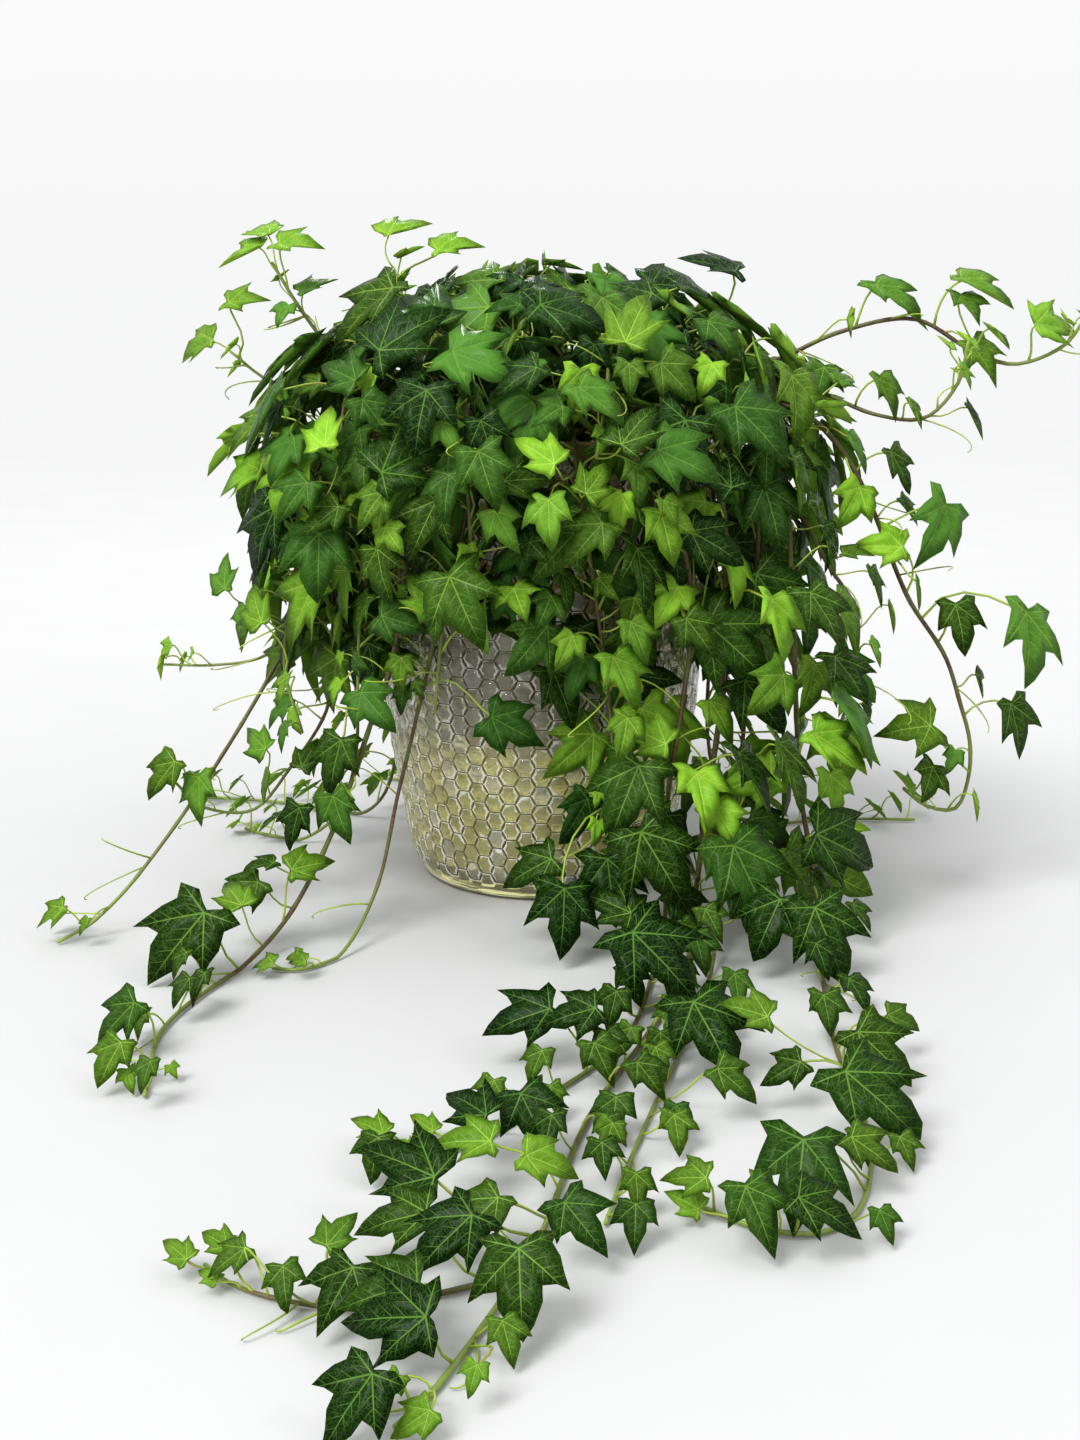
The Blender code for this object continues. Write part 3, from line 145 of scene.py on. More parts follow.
# Stems whose routes the photograph shows: radius at the root, then the route outside the pot
SEEN_STEMS = {
    "trail_long": (0.0019, (
        (0.100, -0.112, 0.262), (0.106, -0.112, 0.191), (0.104, -0.116, 0.133), (0.097, -0.124, 0.078),
        (0.089, -0.145, 0.026), (0.083, -0.180, 0.002), (0.060, -0.272, 0.002), (0.021, -0.391, 0.002),
        (-0.002, -0.505, 0.002), (-0.017, -0.552, 0.002), (-0.038, -0.608, 0.002), (-0.050, -0.630, 0.002),
    )),
    "trail_mid": (0.0017, (
        (0.073, -0.124, 0.256), (0.086, -0.126, 0.194), (0.081, -0.128, 0.137), (0.073, -0.132, 0.080),
        (0.072, -0.152, 0.027), (0.064, -0.193, 0.002), (0.042, -0.298, 0.002), (0.008, -0.358, 0.002),
        (-0.020, -0.402, 0.002), (-0.048, -0.425, 0.002), (-0.066, -0.412, 0.002),
    )),
    "trail_short": (0.0015, (
        (0.122, -0.098, 0.250), (0.124, -0.100, 0.200), (0.121, -0.105, 0.154), (0.117, -0.112, 0.098),
        (0.106, -0.138, 0.036), (0.093, -0.208, 0.002), (0.068, -0.317, 0.002), (0.051, -0.381, 0.002),
        (0.034, -0.451, 0.002), (0.026, -0.488, 0.002),
    )),
    "trail_right": (0.0018, (
        (0.136, -0.092, 0.266), (0.145, -0.106, 0.193), (0.148, -0.116, 0.136), (0.152, -0.124, 0.079),
        (0.160, -0.140, 0.032), (0.158, -0.172, 0.002), (0.148, -0.298, 0.002), (0.147, -0.412, 0.002),
        (0.133, -0.474, 0.002), (0.113, -0.496, 0.002), (0.089, -0.492, 0.002), (0.067, -0.474, 0.002),
    )),
    "vine_right": (0.0018, (
        (0.150, -0.048, 0.300), (0.175, -0.060, 0.280), (0.193, -0.065, 0.250), (0.219, -0.070, 0.190),
        (0.243, -0.070, 0.154), (0.254, -0.070, 0.124), (0.261, -0.070, 0.100), (0.261, -0.070, 0.076),
        (0.254, -0.070, 0.058), (0.236, -0.070, 0.060), (0.222, -0.070, 0.071),
    )),
    "tangle_right": (0.0016, (
        (0.124, -0.066, 0.290), (0.148, -0.084, 0.247), (0.167, -0.094, 0.213), (0.185, -0.096, 0.184),
        (0.182, -0.098, 0.137), (0.172, -0.102, 0.104),
    )),
    "loop_right": (0.0016, (
        (0.152, -0.020, 0.310), (0.200, -0.050, 0.296), (0.225, -0.068, 0.296), (0.242, -0.073, 0.316),
        (0.247, -0.073, 0.340),
    )),
    "shoot_right": (0.0017, (
        (0.110, -0.004, 0.315), (0.145, -0.005, 0.326), (0.182, -0.010, 0.343), (0.225, -0.020, 0.351),
        (0.260, -0.030, 0.332), (0.284, -0.035, 0.325), (0.311, -0.040, 0.336), (0.322, -0.045, 0.353),
    )),
    "front_centre": (0.0015, (
        (0.019, -0.128, 0.275), (0.028, -0.132, 0.218), (0.036, -0.130, 0.161), (0.041, -0.130, 0.103),
        (0.032, -0.138, 0.060),
    )),
    "front_left": (0.0015, (
        (-0.036, -0.126, 0.278), (-0.046, -0.130, 0.230), (-0.056, -0.128, 0.184), (-0.062, -0.120, 0.130),
    )),
    "left_inner": (0.0015, (
        (-0.084, -0.098, 0.277), (-0.096, -0.102, 0.231), (-0.105, -0.106, 0.186), (-0.108, -0.106, 0.135),
    )),
    "left_curtain": (0.0015, (
        (-0.120, -0.050, 0.291), (-0.139, -0.070, 0.245), (-0.147, -0.080, 0.198), (-0.153, -0.085, 0.151),
        (-0.143, -0.090, 0.111),
    )),
    "vine_left_a": (0.0016, (
        (-0.124, -0.034, 0.270), (-0.131, -0.032, 0.227), (-0.149, -0.040, 0.173), (-0.163, -0.050, 0.144),
        (-0.200, -0.090, 0.084), (-0.238, -0.125, 0.033), (-0.262, -0.142, 0.010), (-0.280, -0.154, 0.002),
    )),
    "vine_left_b": (0.0018, (
        (-0.078, -0.108, 0.213), (-0.087, -0.116, 0.158), (-0.097, -0.120, 0.130), (-0.121, -0.135, 0.064),
        (-0.145, -0.158, 0.020), (-0.168, -0.198, 0.002), (-0.194, -0.279, 0.002), (-0.188, -0.364, 0.002),
    )),
    "vine_left_c": (0.0016, (
        (-0.061, -0.118, 0.180), (-0.074, -0.116, 0.122), (-0.084, -0.118, 0.082), (-0.096, -0.137, 0.030),
        (-0.115, -0.178, 0.002), (-0.134, -0.198, 0.002), (-0.150, -0.196, 0.002),
    )),
    "runner_left": (0.0013, (
        (-0.126, -0.014, 0.260), (-0.138, -0.018, 0.200), (-0.151, -0.020, 0.162), (-0.176, -0.022, 0.143),
        (-0.207, -0.022, 0.138), (-0.238, -0.020, 0.138),
    )),
    "sprig_left_low": (0.0014, (
        (-0.122, -0.052, 0.250), (-0.126, -0.060, 0.180), (-0.130, -0.062, 0.122), (-0.155, -0.070, 0.082),
        (-0.176, -0.080, 0.060), (-0.206, -0.086, 0.064), (-0.220, -0.090, 0.080),
    )),
    "shoot_left_high": (0.0016, (
        (-0.092, -0.010, 0.305), (-0.124, -0.012, 0.328), (-0.146, -0.011, 0.356), (-0.163, -0.010, 0.384),
    )),
    "shoot_left_low": (0.0014, (
        (-0.110, 0.018, 0.300), (-0.142, 0.020, 0.308), (-0.171, 0.020, 0.312), (-0.195, 0.020, 0.330),
    )),
    "shoot_top": (0.0014, (
        (-0.062, 0.016, 0.320), (-0.086, 0.028, 0.350), (-0.092, 0.030, 0.380),
    )),
}

# Stems that are bare between the leaves seen on them
BARE_STEMS = ("vine_left_a", "vine_left_c", "runner_left", "shoot_left_high", "shoot_top")

# The sprig that leaves the longest trail near its end: parent, radius, route from the parent
SPRIG = ("trail_long", 0.0013, (
    (-0.017, -0.552, 0.002), (-0.044, -0.545, 0.002), (-0.070, -0.554, 0.002), (-0.098, -0.548, 0.002),
    (-0.119, -0.537, 0.002), (-0.133, -0.521, 0.002),
))

# Mound stems and back stems, which follow a rule
SHOULDER_STEMS = 9
SHOULDER_RADIUS = 0.0017
SHOULDER_ROUTE = ((0.085, 0.322), (0.116, 0.334), (0.138, 0.316), (0.149, 0.280), (0.147, 0.235), (0.142, 0.190))
CROWN_STEMS = 4
CROWN_RADIUS = 0.0017
CROWN_ROUTE = ((0.034, 0.310), (0.058, 0.338), (0.086, 0.346), (0.108, 0.340))
BACK_STEMS = (
    ("back_trail_1", 28.0, 0.115, -30.0), ("back_trail_2", 58.0, 0.060, 25.0), ("back_trail_3", 84.0, 0.150, -35.0),
    ("back_trail_4", 112.0, 0.080, 40.0), ("back_trail_5", 140.0, 0.130, 30.0), ("back_trail_6", 164.0, 0.050, -25.0),
)
BACK_RADIUS = 0.0016
BACK_ROUTE = ((0.124, 0.262), (0.130, 0.200), (0.128, 0.130), (0.128, 0.070), (0.142, 0.024), (0.170, 0.002))

# Main leaves in the places where the photograph shows them: where the blade meets its stalk (x, y, z), the
# blade's length from there to its point, how far its point turns from straight down to the right, in degrees,
# and its youth, from 0, old and dark, to 1, new and pale
SEEN_LEAVES = (
    (-0.095, 0.030, 0.400, 0.032, 135, 0.90), (-0.065, 0.030, 0.390, 0.030, 105, 0.85),
    (-0.060, -0.100, 0.350, 0.046, -145, 0.10), (-0.090, -0.115, 0.335, 0.047, 110, 0.10),
    (-0.105, -0.120, 0.320, 0.030, -120, 0.20), (-0.100, -0.130, 0.310, 0.028, 40, 0.15),
    (-0.050, -0.130, 0.335, 0.044, 50, 0.15), (0.000, -0.100, 0.360, 0.042, 70, 0.10),
    (-0.005, -0.155, 0.325, 0.029, -55, 0.10), (-0.120, -0.130, 0.285, 0.030, -160, 1.00),
    (-0.080, -0.155, 0.270, 0.044, 105, 0.15), (-0.035, -0.170, 0.285, 0.035, 20, 0.20),
    (-0.020, -0.170, 0.270, 0.029, 105, 0.35), (0.005, -0.175, 0.260, 0.028, 0, 0.65),
    (-0.050, -0.152, 0.215, 0.045, 20, 0.30), (-0.105, -0.125, 0.145, 0.033, 50, 0.20),
    (-0.118, -0.115, 0.130, 0.033, -20, 0.15), (-0.090, -0.130, 0.190, 0.030, 65, 0.20),
    (-0.015, -0.128, 0.125, 0.035, 30, 0.10), (-0.140, -0.110, 0.285, 0.031, -30, 0.15),
    (-0.170, -0.010, 0.265, 0.033, -5, 0.20), (-0.125, -0.120, 0.235, 0.040, 0, 0.15),
    (-0.132, -0.125, 0.265, 0.028, -30, 0.15), (-0.168, -0.010, 0.394, 0.029, -95, 0.80),
    (-0.164, -0.006, 0.398, 0.026, -130, 0.80), (-0.158, -0.014, 0.395, 0.029, 75, 0.75),
    (-0.195, 0.020, 0.360, 0.028, 80, 0.75), (-0.202, 0.020, 0.340, 0.030, -85, 0.75),
    (0.045, -0.128, 0.342, 0.036, 155, 0.70), (0.020, -0.155, 0.320, 0.033, 55, 0.30),
    (0.120, 0.020, 0.378, 0.037, -110, 0.10), (0.065, -0.055, 0.368, 0.035, -50, 0.10),
    (0.072, 0.010, 0.374, 0.035, 95, 0.10), (0.045, -0.165, 0.292, 0.033, 145, 0.25),
    (0.105, -0.140, 0.262, 0.035, -135, 0.15), (0.082, -0.150, 0.240, 0.035, 55, 0.15),
    (0.065, -0.160, 0.252, 0.031, 5, 0.65), (0.095, -0.140, 0.185, 0.050, 55, 0.15),
    (0.118, -0.125, 0.150, 0.038, 30, 0.10), (0.042, -0.145, 0.168, 0.033, 25, 0.70),
    (0.070, -0.140, 0.118, 0.030, -110, 0.90), (0.055, -0.150, 0.106, 0.047, -30, 0.15),
    (0.098, -0.135, 0.140, 0.028, 20, 0.70), (0.128, -0.080, 0.215, 0.031, 30, 0.15),
    (0.152, -0.070, 0.270, 0.028, 25, 0.50), (0.168, -0.115, 0.158, 0.035, 45, 0.15),
    (0.176, -0.112, 0.120, 0.042, 5, 0.60), (0.132, -0.135, 0.096, 0.033, -70, 0.75),
    (0.165, -0.130, 0.094, 0.029, 5, 0.65), (0.100, -0.150, 0.084, 0.030, 30, 0.85),
    (0.055, -0.170, 0.074, 0.051, 25, 0.15), (0.108, -0.172, 0.066, 0.051, 25, 0.15),
    (0.156, -0.156, 0.070, 0.047, 70, 0.15), (0.125, -0.190, 0.045, 0.038, -20, 0.10),
    (0.148, -0.205, 0.040, 0.044, 25, 0.15), (0.050, -0.262, 0.036, 0.051, 0, 0.10),
    (0.072, -0.325, 0.034, 0.044, 10, 0.15), (0.050, -0.178, 0.030, 0.034, -115, 0.20),
    (0.005, -0.158, 0.052, 0.033, -60, 0.25), (0.018, -0.180, 0.040, 0.040, -10, 0.15),
    (0.005, -0.322, 0.030, 0.035, -65, 0.10), (0.024, -0.332, 0.030, 0.028, -55, 0.10),
    (-0.008, -0.418, 0.028, 0.030, 25, 0.15), (-0.022, -0.462, 0.026, 0.026, -100, 0.90),
    (-0.042, -0.500, 0.028, 0.036, -130, 0.10), (-0.048, -0.512, 0.022, 0.030, -45, 0.40),
    (-0.028, -0.530, 0.026, 0.033, -25, 0.15), (-0.045, -0.572, 0.024, 0.030, -60, 0.25),
    (-0.042, -0.596, 0.024, 0.033, -85, 0.10), (-0.008, -0.560, 0.030, 0.035, 5, 0.30),
    (-0.058, -0.634, 0.024, 0.030, -35, 0.20), (0.008, -0.515, 0.024, 0.028, 40, 0.15),
    (-0.070, -0.560, 0.022, 0.028, -20, 0.20), (-0.112, -0.536, 0.020, 0.018, -50, 0.50),
    (0.150, -0.350, 0.030, 0.035, 35, 0.35), (0.136, -0.402, 0.032, 0.044, 30, 0.15),
    (0.105, -0.470, 0.032, 0.040, -10, 0.10), (0.100, -0.512, 0.026, 0.029, 45, 0.15),
    (0.080, -0.506, 0.026, 0.030, 10, 0.30), (0.066, -0.484, 0.020, 0.020, -100, 0.80),
    (0.284, -0.074, 0.124, 0.035, 15, 0.20), (0.288, -0.072, 0.182, 0.046, 8, 0.30),
    (0.247, -0.074, 0.190, 0.031, 25, 0.30), (0.236, -0.078, 0.245, 0.042, -30, 0.15),
    (0.230, -0.074, 0.130, 0.038, -65, 0.60), (0.238, -0.074, 0.086, 0.029, -40, 0.30),
    (0.188, -0.070, 0.255, 0.030, -30, 0.85), (0.216, -0.064, 0.228, 0.028, -60, 1.00),
    (0.200, -0.014, 0.368, 0.036, 50, 0.35), (0.250, -0.030, 0.376, 0.036, 60, 0.60),
    (0.258, -0.038, 0.336, 0.030, 35, 0.55), (0.292, -0.045, 0.348, 0.035, 100, 0.75),
    (0.200, -0.054, 0.318, 0.028, 15, 0.50), (0.206, -0.066, 0.275, 0.028, 35, 0.25),
    (-0.202, -0.098, 0.086, 0.030, 5, 0.40), (-0.214, -0.094, 0.094, 0.028, -30, 0.40),
    (-0.186, -0.206, 0.036, 0.049, -40, 0.30), (-0.202, -0.312, 0.030, 0.029, -40, 0.30),
    (-0.200, -0.350, 0.024, 0.024, -25, 0.70), (-0.162, -0.156, 0.040, 0.028, -45, 0.35),
    (-0.126, -0.132, 0.074, 0.030, 25, 0.30), (-0.156, -0.052, 0.145, 0.030, -55, 0.50),
    (0.095, -0.080, 0.352, 0.029, 35, 0.15), (0.178, -0.018, 0.326, 0.030, -20, 0.30),
    (-0.276, -0.150, 0.022, 0.020, -60, 0.85), (-0.236, -0.018, 0.148, 0.016, -60, 0.80),
    (-0.010, -0.150, 0.316, 0.044, -25, 0.10), (0.034, -0.152, 0.304, 0.042, 35, 0.15),
    (0.078, -0.145, 0.300, 0.042, -15, 0.15), (0.108, -0.120, 0.305, 0.044, 35, 0.15),
    (-0.112, -0.105, 0.300, 0.042, -35, 0.15), (0.018, -0.145, 0.240, 0.036, -40, 0.30),
    (0.075, -0.150, 0.272, 0.038, 20, 0.20), (0.128, -0.110, 0.262, 0.040, 10, 0.10),
    (-0.058, -0.150, 0.258, 0.036, -30, 0.30), (0.125, -0.110, 0.210, 0.040, 20, 0.15),
)

# Smaller leaves in the places where the photograph shows them, which the solids leave out
SMALL_LEAVES = (
    (-0.060, -0.150, 0.310, 0.022, 50, 0.50), (0.005, -0.172, 0.282, 0.026, -115, 1.00),
    (-0.085, -0.150, 0.240, 0.022, 45, 0.70), (-0.065, -0.140, 0.195, 0.026, -155, 0.80),
    (-0.020, -0.132, 0.155, 0.024, -70, 0.95), (-0.193, 0.018, 0.322, 0.024, 70, 0.50),
    (-0.145, -0.014, 0.366, 0.024, 110, 0.70), (-0.152, -0.012, 0.362, 0.018, -20, 0.80),
    (0.045, -0.138, 0.333, 0.021, 10, 1.00), (0.135, 0.010, 0.370, 0.024, 80, 0.60),
    (0.025, -0.172, 0.265, 0.025, 145, 0.60), (0.052, -0.168, 0.280, 0.024, 20, 0.45),
    (0.060, -0.168, 0.266, 0.018, 0, 0.70), (0.050, -0.150, 0.190, 0.026, 20, 0.55),
    (0.018, -0.148, 0.180, 0.022, -25, 0.75), (0.048, -0.142, 0.130, 0.026, -40, 0.60),
    (0.080, -0.385, 0.024, 0.024, 50, 0.50), (0.102, -0.345, 0.026, 0.024, -145, 0.70),
    (-0.045, -0.158, 0.034, 0.024, -45, 0.30), (-0.025, -0.440, 0.026, 0.026, -130, 0.15),
    (-0.014, -0.468, 0.024, 0.024, 95, 0.95), (-0.026, -0.505, 0.022, 0.026, -35, 0.50),
    (-0.098, -0.550, 0.018, 0.018, 20, 0.45), (-0.082, -0.542, 0.020, 0.018, 150, 0.55),
    (0.128, -0.455, 0.024, 0.024, 60, 0.60), (0.120, -0.375, 0.024, 0.022, -50, 0.30),
    (0.172, -0.318, 0.024, 0.020, 70, 0.50), (0.252, -0.076, 0.096, 0.016, -35, 0.30),
    (0.240, -0.028, 0.358, 0.026, 20, 0.40), (-0.168, -0.186, 0.034, 0.026, -150, 0.80),
    (-0.152, -0.150, 0.040, 0.026, 140, 0.75), (-0.145, -0.086, 0.088, 0.020, 155, 0.30),
    (-0.158, -0.082, 0.086, 0.024, -145, 0.50), (-0.166, -0.088, 0.074, 0.026, -35, 0.35),
    (-0.178, -0.052, 0.178, 0.022, -35, 0.40), (-0.186, -0.050, 0.186, 0.024, 175, 0.40),
    (-0.150, -0.088, 0.192, 0.026, -150, 0.75), (-0.132, -0.004, 0.332, 0.024, -170, 0.40),
    (0.160, -0.012, 0.312, 0.024, 150, 0.60),
)
FADED_LEAF = (0.054, -0.150, 0.152, 0.024, -60, 0.90)

# Further small leaves by rule: how many are tried on the dome, at what share of its size, how near others, their
# lengths, the first seed, and how far each may turn away from the regular lie
DOME_FILLS = (
    (300, 0.95, 0.016, (0.026, 0.040), 30000, 0.45),
    (440, 0.93, 0.013, (0.018, 0.030), 32000, 0.80),
    (420, 0.86, 0.014, (0.026, 0.038), 34000, 1.10),
    (320, 0.75, 0.016, (0.032, 0.044), 36000, 1.00),
    (220, 0.62, 0.020, (0.034, 0.046), 37000, 0.80),
)
INNER_SEED = 34000
INNER_SLACK = 0.62
OPEN_GLASS = (math.radians(-130.0), math.radians(-88.0), 0.185)
SKIRT = ((0.025, 0.170), (-0.158, -0.108), (0.030, 0.215))
SKIRT_FILL = (150, 0.019, (0.030, 0.044), 28000, 0.45)
SOIL_COVER = ((-0.085, 0.085), (-0.085, 0.085), (0.276, 0.330))
COVER_FILL = (130, 0.019, (0.030, 0.044), 38000, 0.60)
STEM_FILLS = ((0.036, 50000, 60000, 0.80, 0.0), (0.026, 120000, 160000, 0.66, 0.9))
TIP_BUDS = 3
CROWN_AGES = (0.0, 0.1, 0.1, 0.2, 0.3, 0.8)
FRONT_AGES = (0.1, 0.1, 0.2, 0.3, 0.5, 0.7, 1.0)
SIDE_AGES = (0.1, 0.2, 0.4, 0.6, 0.8, 0.9, 1.0)
SIDE_CURTAIN = 0.105
CROWN_REACH = 0.165
CROWN_YOUTH = 0.45
CURTAIN_YOUTH = 0.95
LYING_HEIGHT = 0.055
LYING_TONE = 0.25
LYING_YOUTH = 0.75
TENDRILS = 4


# Shared mesh and material helpers


def shown_piece(name, points, faces, smooth=True):
    """A mesh object at the origin, linked to the scene."""
    mesh = bpy.data.meshes.new(name)
    mesh.from_pydata([tuple(p) for p in np.asarray(points, float).tolist()], [], faces)
    mesh.update()
    mesh.polygons.foreach_set("use_smooth", [smooth] * len(mesh.polygons))
    obj = bpy.data.objects.new(name, mesh)
    bpy.context.scene.collection.objects.link(obj)
    return obj


def own_values(mesh, name, values, each="POINT"):
    """One number for each point or face, kept as a named attribute that materials read."""
    attribute = mesh.attributes.new(name, "FLOAT", each)
    attribute.data.foreach_set("value", np.asarray(values, np.float32))


def grid_faces(rows, columns, wrap):
    """Quads of a grid whose points are numbered row by row, with the last column joined to the first if wrap."""
    row, column = np.meshgrid(np.arange(rows - 1), np.arange(columns if wrap else columns - 1), indexing="ij")
    beside = (column + 1) % columns
    a = row * columns + column
    b = row * columns + beside
    return np.stack([a, b, b + columns, a + columns], axis=-1).reshape(-1, 4).tolist()


class Paint:
    """Adds shader nodes to a material and joins them, each call giving the new node's output."""

    def __init__(self, name):
        self.material = bpy.data.materials.new(name)
        self.material.use_nodes = True
        self.tree = self.material.node_tree
        self.shader = self.tree.nodes["Principled BSDF"]

    def join(self, value, socket):
        if isinstance(value, bpy.types.NodeSocket):
            self.tree.links.new(value, socket)
        elif value is not None:
            socket.default_value = value

    def math(self, operation, a, b=None, c=None, clamp=False):
        node = self.tree.nodes.new("ShaderNodeMath")
        node.operation = operation
        node.use_clamp = clamp
        for value, socket in zip((a, b, c), node.inputs):
            self.join(value, socket)
        return node.outputs[0]

    def mix(self, share, a, b):
        node = self.tree.nodes.new("ShaderNodeMix")
        node.data_type = "RGBA"
        self.join(share, node.inputs[0])
        self.join(a, node.inputs[6])
        self.join(b, node.inputs[7])
        return node.outputs[2]

    def attribute(self, name):
        node = self.tree.nodes.new("ShaderNodeAttribute")
        node.attribute_name = name
        return node.outputs["Fac"]

    def place(self, kind="Object"):
        return self.tree.nodes.new("ShaderNodeTexCoord").outputs[kind]

    def noise(self, place, scale, detail=3.0, roughness=0.55):
        node = self.tree.nodes.new("ShaderNodeTexNoise")
        node.inputs["Scale"].default_value = scale
        node.inputs["Detail"].default_value = detail
        node.inputs["Roughness"].default_value = roughness
        self.join(place, node.inputs["Vector"])
        return node.outputs[0]

    def cells(self, place, scale, feature="DISTANCE_TO_EDGE"):
        node = self.tree.nodes.new("ShaderNodeTexVoronoi")
        node.feature = feature
        node.inputs["Scale"].default_value = scale
        self.join(place, node.inputs["Vector"])
        return node.outputs[0]

    def between(self, value, low, high, out_low=0.0, out_high=1.0):
        node = self.tree.nodes.new("ShaderNodeMapRange")
        node.interpolation_type = "SMOOTHSTEP"
        for number, socket in zip((low, high, out_low, out_high), list(node.inputs)[1:5]):
            self.join(number, socket)
        self.join(value, node.inputs[0])
        return node.outputs[0]

    def bump(self, height, strength, distance):
        node = self.tree.nodes.new("ShaderNodeBump")
        node.inputs["Strength"].default_value = strength
        node.inputs["Distance"].default_value = distance
        self.join(height, node.inputs["Height"])
        self.join(node.outputs[0], self.shader.inputs["Normal"])

    def set(self, **values):
        for name, value in values.items():
            self.join(value, self.shader.inputs[name.replace("_", " ")])
        return self.material


# Materials


def glass_material(settings):
    """Pressed glass with a silvery champagne cast. Painted reflections make some facets darker and some nearly white,
    painted glints line the facets' rims, painted shade darkens the grooves, and a painted golden reflection lies near
    the top.
    """
    paint = Paint("pressed_glass")
    place = paint.place()
    facet, groove = paint.attribute("facet"), paint.attribute("groove")
    split = paint.tree.nodes.new("ShaderNodeSeparateXYZ")
    paint.join(place, split.inputs[0])
    waver = paint.math("MULTIPLY", paint.noise(place, 22.0, 2.0), 0.06)
    height = paint.math("ADD", split.outputs[2], waver)
    light = paint.mix(paint.between(height, 0.105, 0.150), (*settings.glass_warm, 1.0), (*settings.glass_silver, 1.0))
    # Painted reflection: the facets near the top turn gold.
    light = paint.mix(paint.between(height, 0.195, 0.235), light, (*settings.glass_gold_reflection, 1.0))
    # Painted reflections: facets with a low number darken towards brown, as if they reflected dark surroundings.
    dark_reflection = paint.mix(0.24, light, (0.26, 0.22, 0.13, 1.0))
    colour = paint.mix(paint.between(facet, 0.00, 0.65), dark_reflection, light)
    patchy = paint.between(paint.noise(place, 95.0, 2.0), 0.36, 0.56)
    # Painted glints: a pale line along each facet's rim, in patches, where the glass also lets less light through.
    rim = paint.math("SUBTRACT", paint.between(groove, 0.03, 0.16), paint.between(groove, 0.34, 0.60))
    rim_glint = paint.math("MULTIPLY", rim, patchy)
    # Painted glints: facets with a high number turn nearly white.
    colour = paint.mix(paint.between(facet, 0.70, 0.95), colour, (1.0, 0.99, 0.94, 1.0))
    colour = paint.mix(rim_glint, colour, (1.0, 0.985, 0.93, 1.0))
    # Painted shade: the deep grooves darken to brown.
    colour = paint.mix(paint.between(groove, 0.45, 0.75), colour, (0.150, 0.120, 0.070, 1.0))
    clearness = paint.between(rim_glint, 0.0, 1.0, settings.glass_clearness, settings.glint_rim_clearness)
    paint.bump(paint.noise(place, 130.0, 2.0), 0.10, 0.0004)
    return paint.set(
        Base_Color=colour, Roughness=settings.glass_roughness, IOR=1.50,
        Transmission_Weight=clearness, Specular_IOR_Level=0.9,
    )


def plastic_material():
    """Thin dark grown-in plastic: scuffs and dust make it lighter and rougher in places, and ochre patches are painted
    golden glints, which show through the glass.
    """
    paint = Paint("pot_plastic")
    place = paint.place()
    scuffs = paint.between(paint.noise(place, 38.0, 5.0), 0.44, 0.62)
    dust = paint.between(paint.noise(place, 140.0, 4.0), 0.52, 0.70)
    # Painted glints: ochre patches that show through the glass as golden glints.
    patches = paint.between(paint.noise(place, 30.0, 2.0), 0.46, 0.58)
    colour = paint.mix(scuffs, (0.055, 0.047, 0.036, 1.0), (0.400, 0.385, 0.360, 1.0))
    colour = paint.mix(paint.math("MULTIPLY", patches, 0.7), colour, (0.420, 0.290, 0.080, 1.0))
    colour = paint.mix(paint.math("MULTIPLY", dust, 0.5), colour, (0.360, 0.280, 0.150, 1.0))
    paint.bump(paint.math("ADD", scuffs, dust), 0.25, 0.0006)
    return paint.set(Base_Color=colour, Roughness=paint.between(scuffs, 0.0, 1.0, 0.38, 0.62))


def soil_material():
    """Dark crumbs of peat and bark, with a few pale grains of perlite among them."""
    paint = Paint("dark_soil")
    place = paint.place()
    crumbs = paint.cells(place, 260.0)
    grain = paint.noise(place, 420.0, 5.0)
    bark = paint.between(paint.noise(place, 85.0, 3.0), 0.50, 0.62)
    perlite = paint.between(paint.cells(place, 120.0, "F1"), 0.13, 0.10)
    colour = paint.mix(grain, (0.012, 0.008, 0.005, 1.0), (0.070, 0.042, 0.024, 1.0))
    colour = paint.mix(paint.math("MULTIPLY", bark, 0.7), colour, (0.105, 0.062, 0.034, 1.0))
    colour = paint.mix(perlite, colour, (0.62, 0.60, 0.56, 1.0))
    height = paint.math("ADD", paint.between(crumbs, 0.0, 0.25), paint.math("MULTIPLY", grain, 0.6))
    paint.bump(height, 0.8, 0.0015)
    return paint.set(Base_Color=colour, Roughness=0.93)


def stem_material():
    """Green to purple-brown bark with fine lengthwise streaks, paler and greener towards each tip."""
    paint = Paint("ivy_stem")
    place = paint.place()
    patches = paint.between(paint.noise(place, 55.0, 4.0), 0.38, 0.62)
    specks = paint.between(paint.noise(place, 600.0, 3.0), 0.52, 0.66)
    young = paint.attribute("young")
    old_bark = paint.mix(patches, (0.120, 0.140, 0.030, 1.0), (0.095, 0.050, 0.026, 1.0))
    colour = paint.mix(young, old_bark, (0.230, 0.330, 0.060, 1.0))
    colour = paint.mix(paint.math("MULTIPLY", specks, 0.35), colour, (0.230, 0.170, 0.080, 1.0))
    paint.bump(paint.math("ADD", specks, patches), 0.35, 0.0004)
    return paint.set(Base_Color=colour, Roughness=0.48)


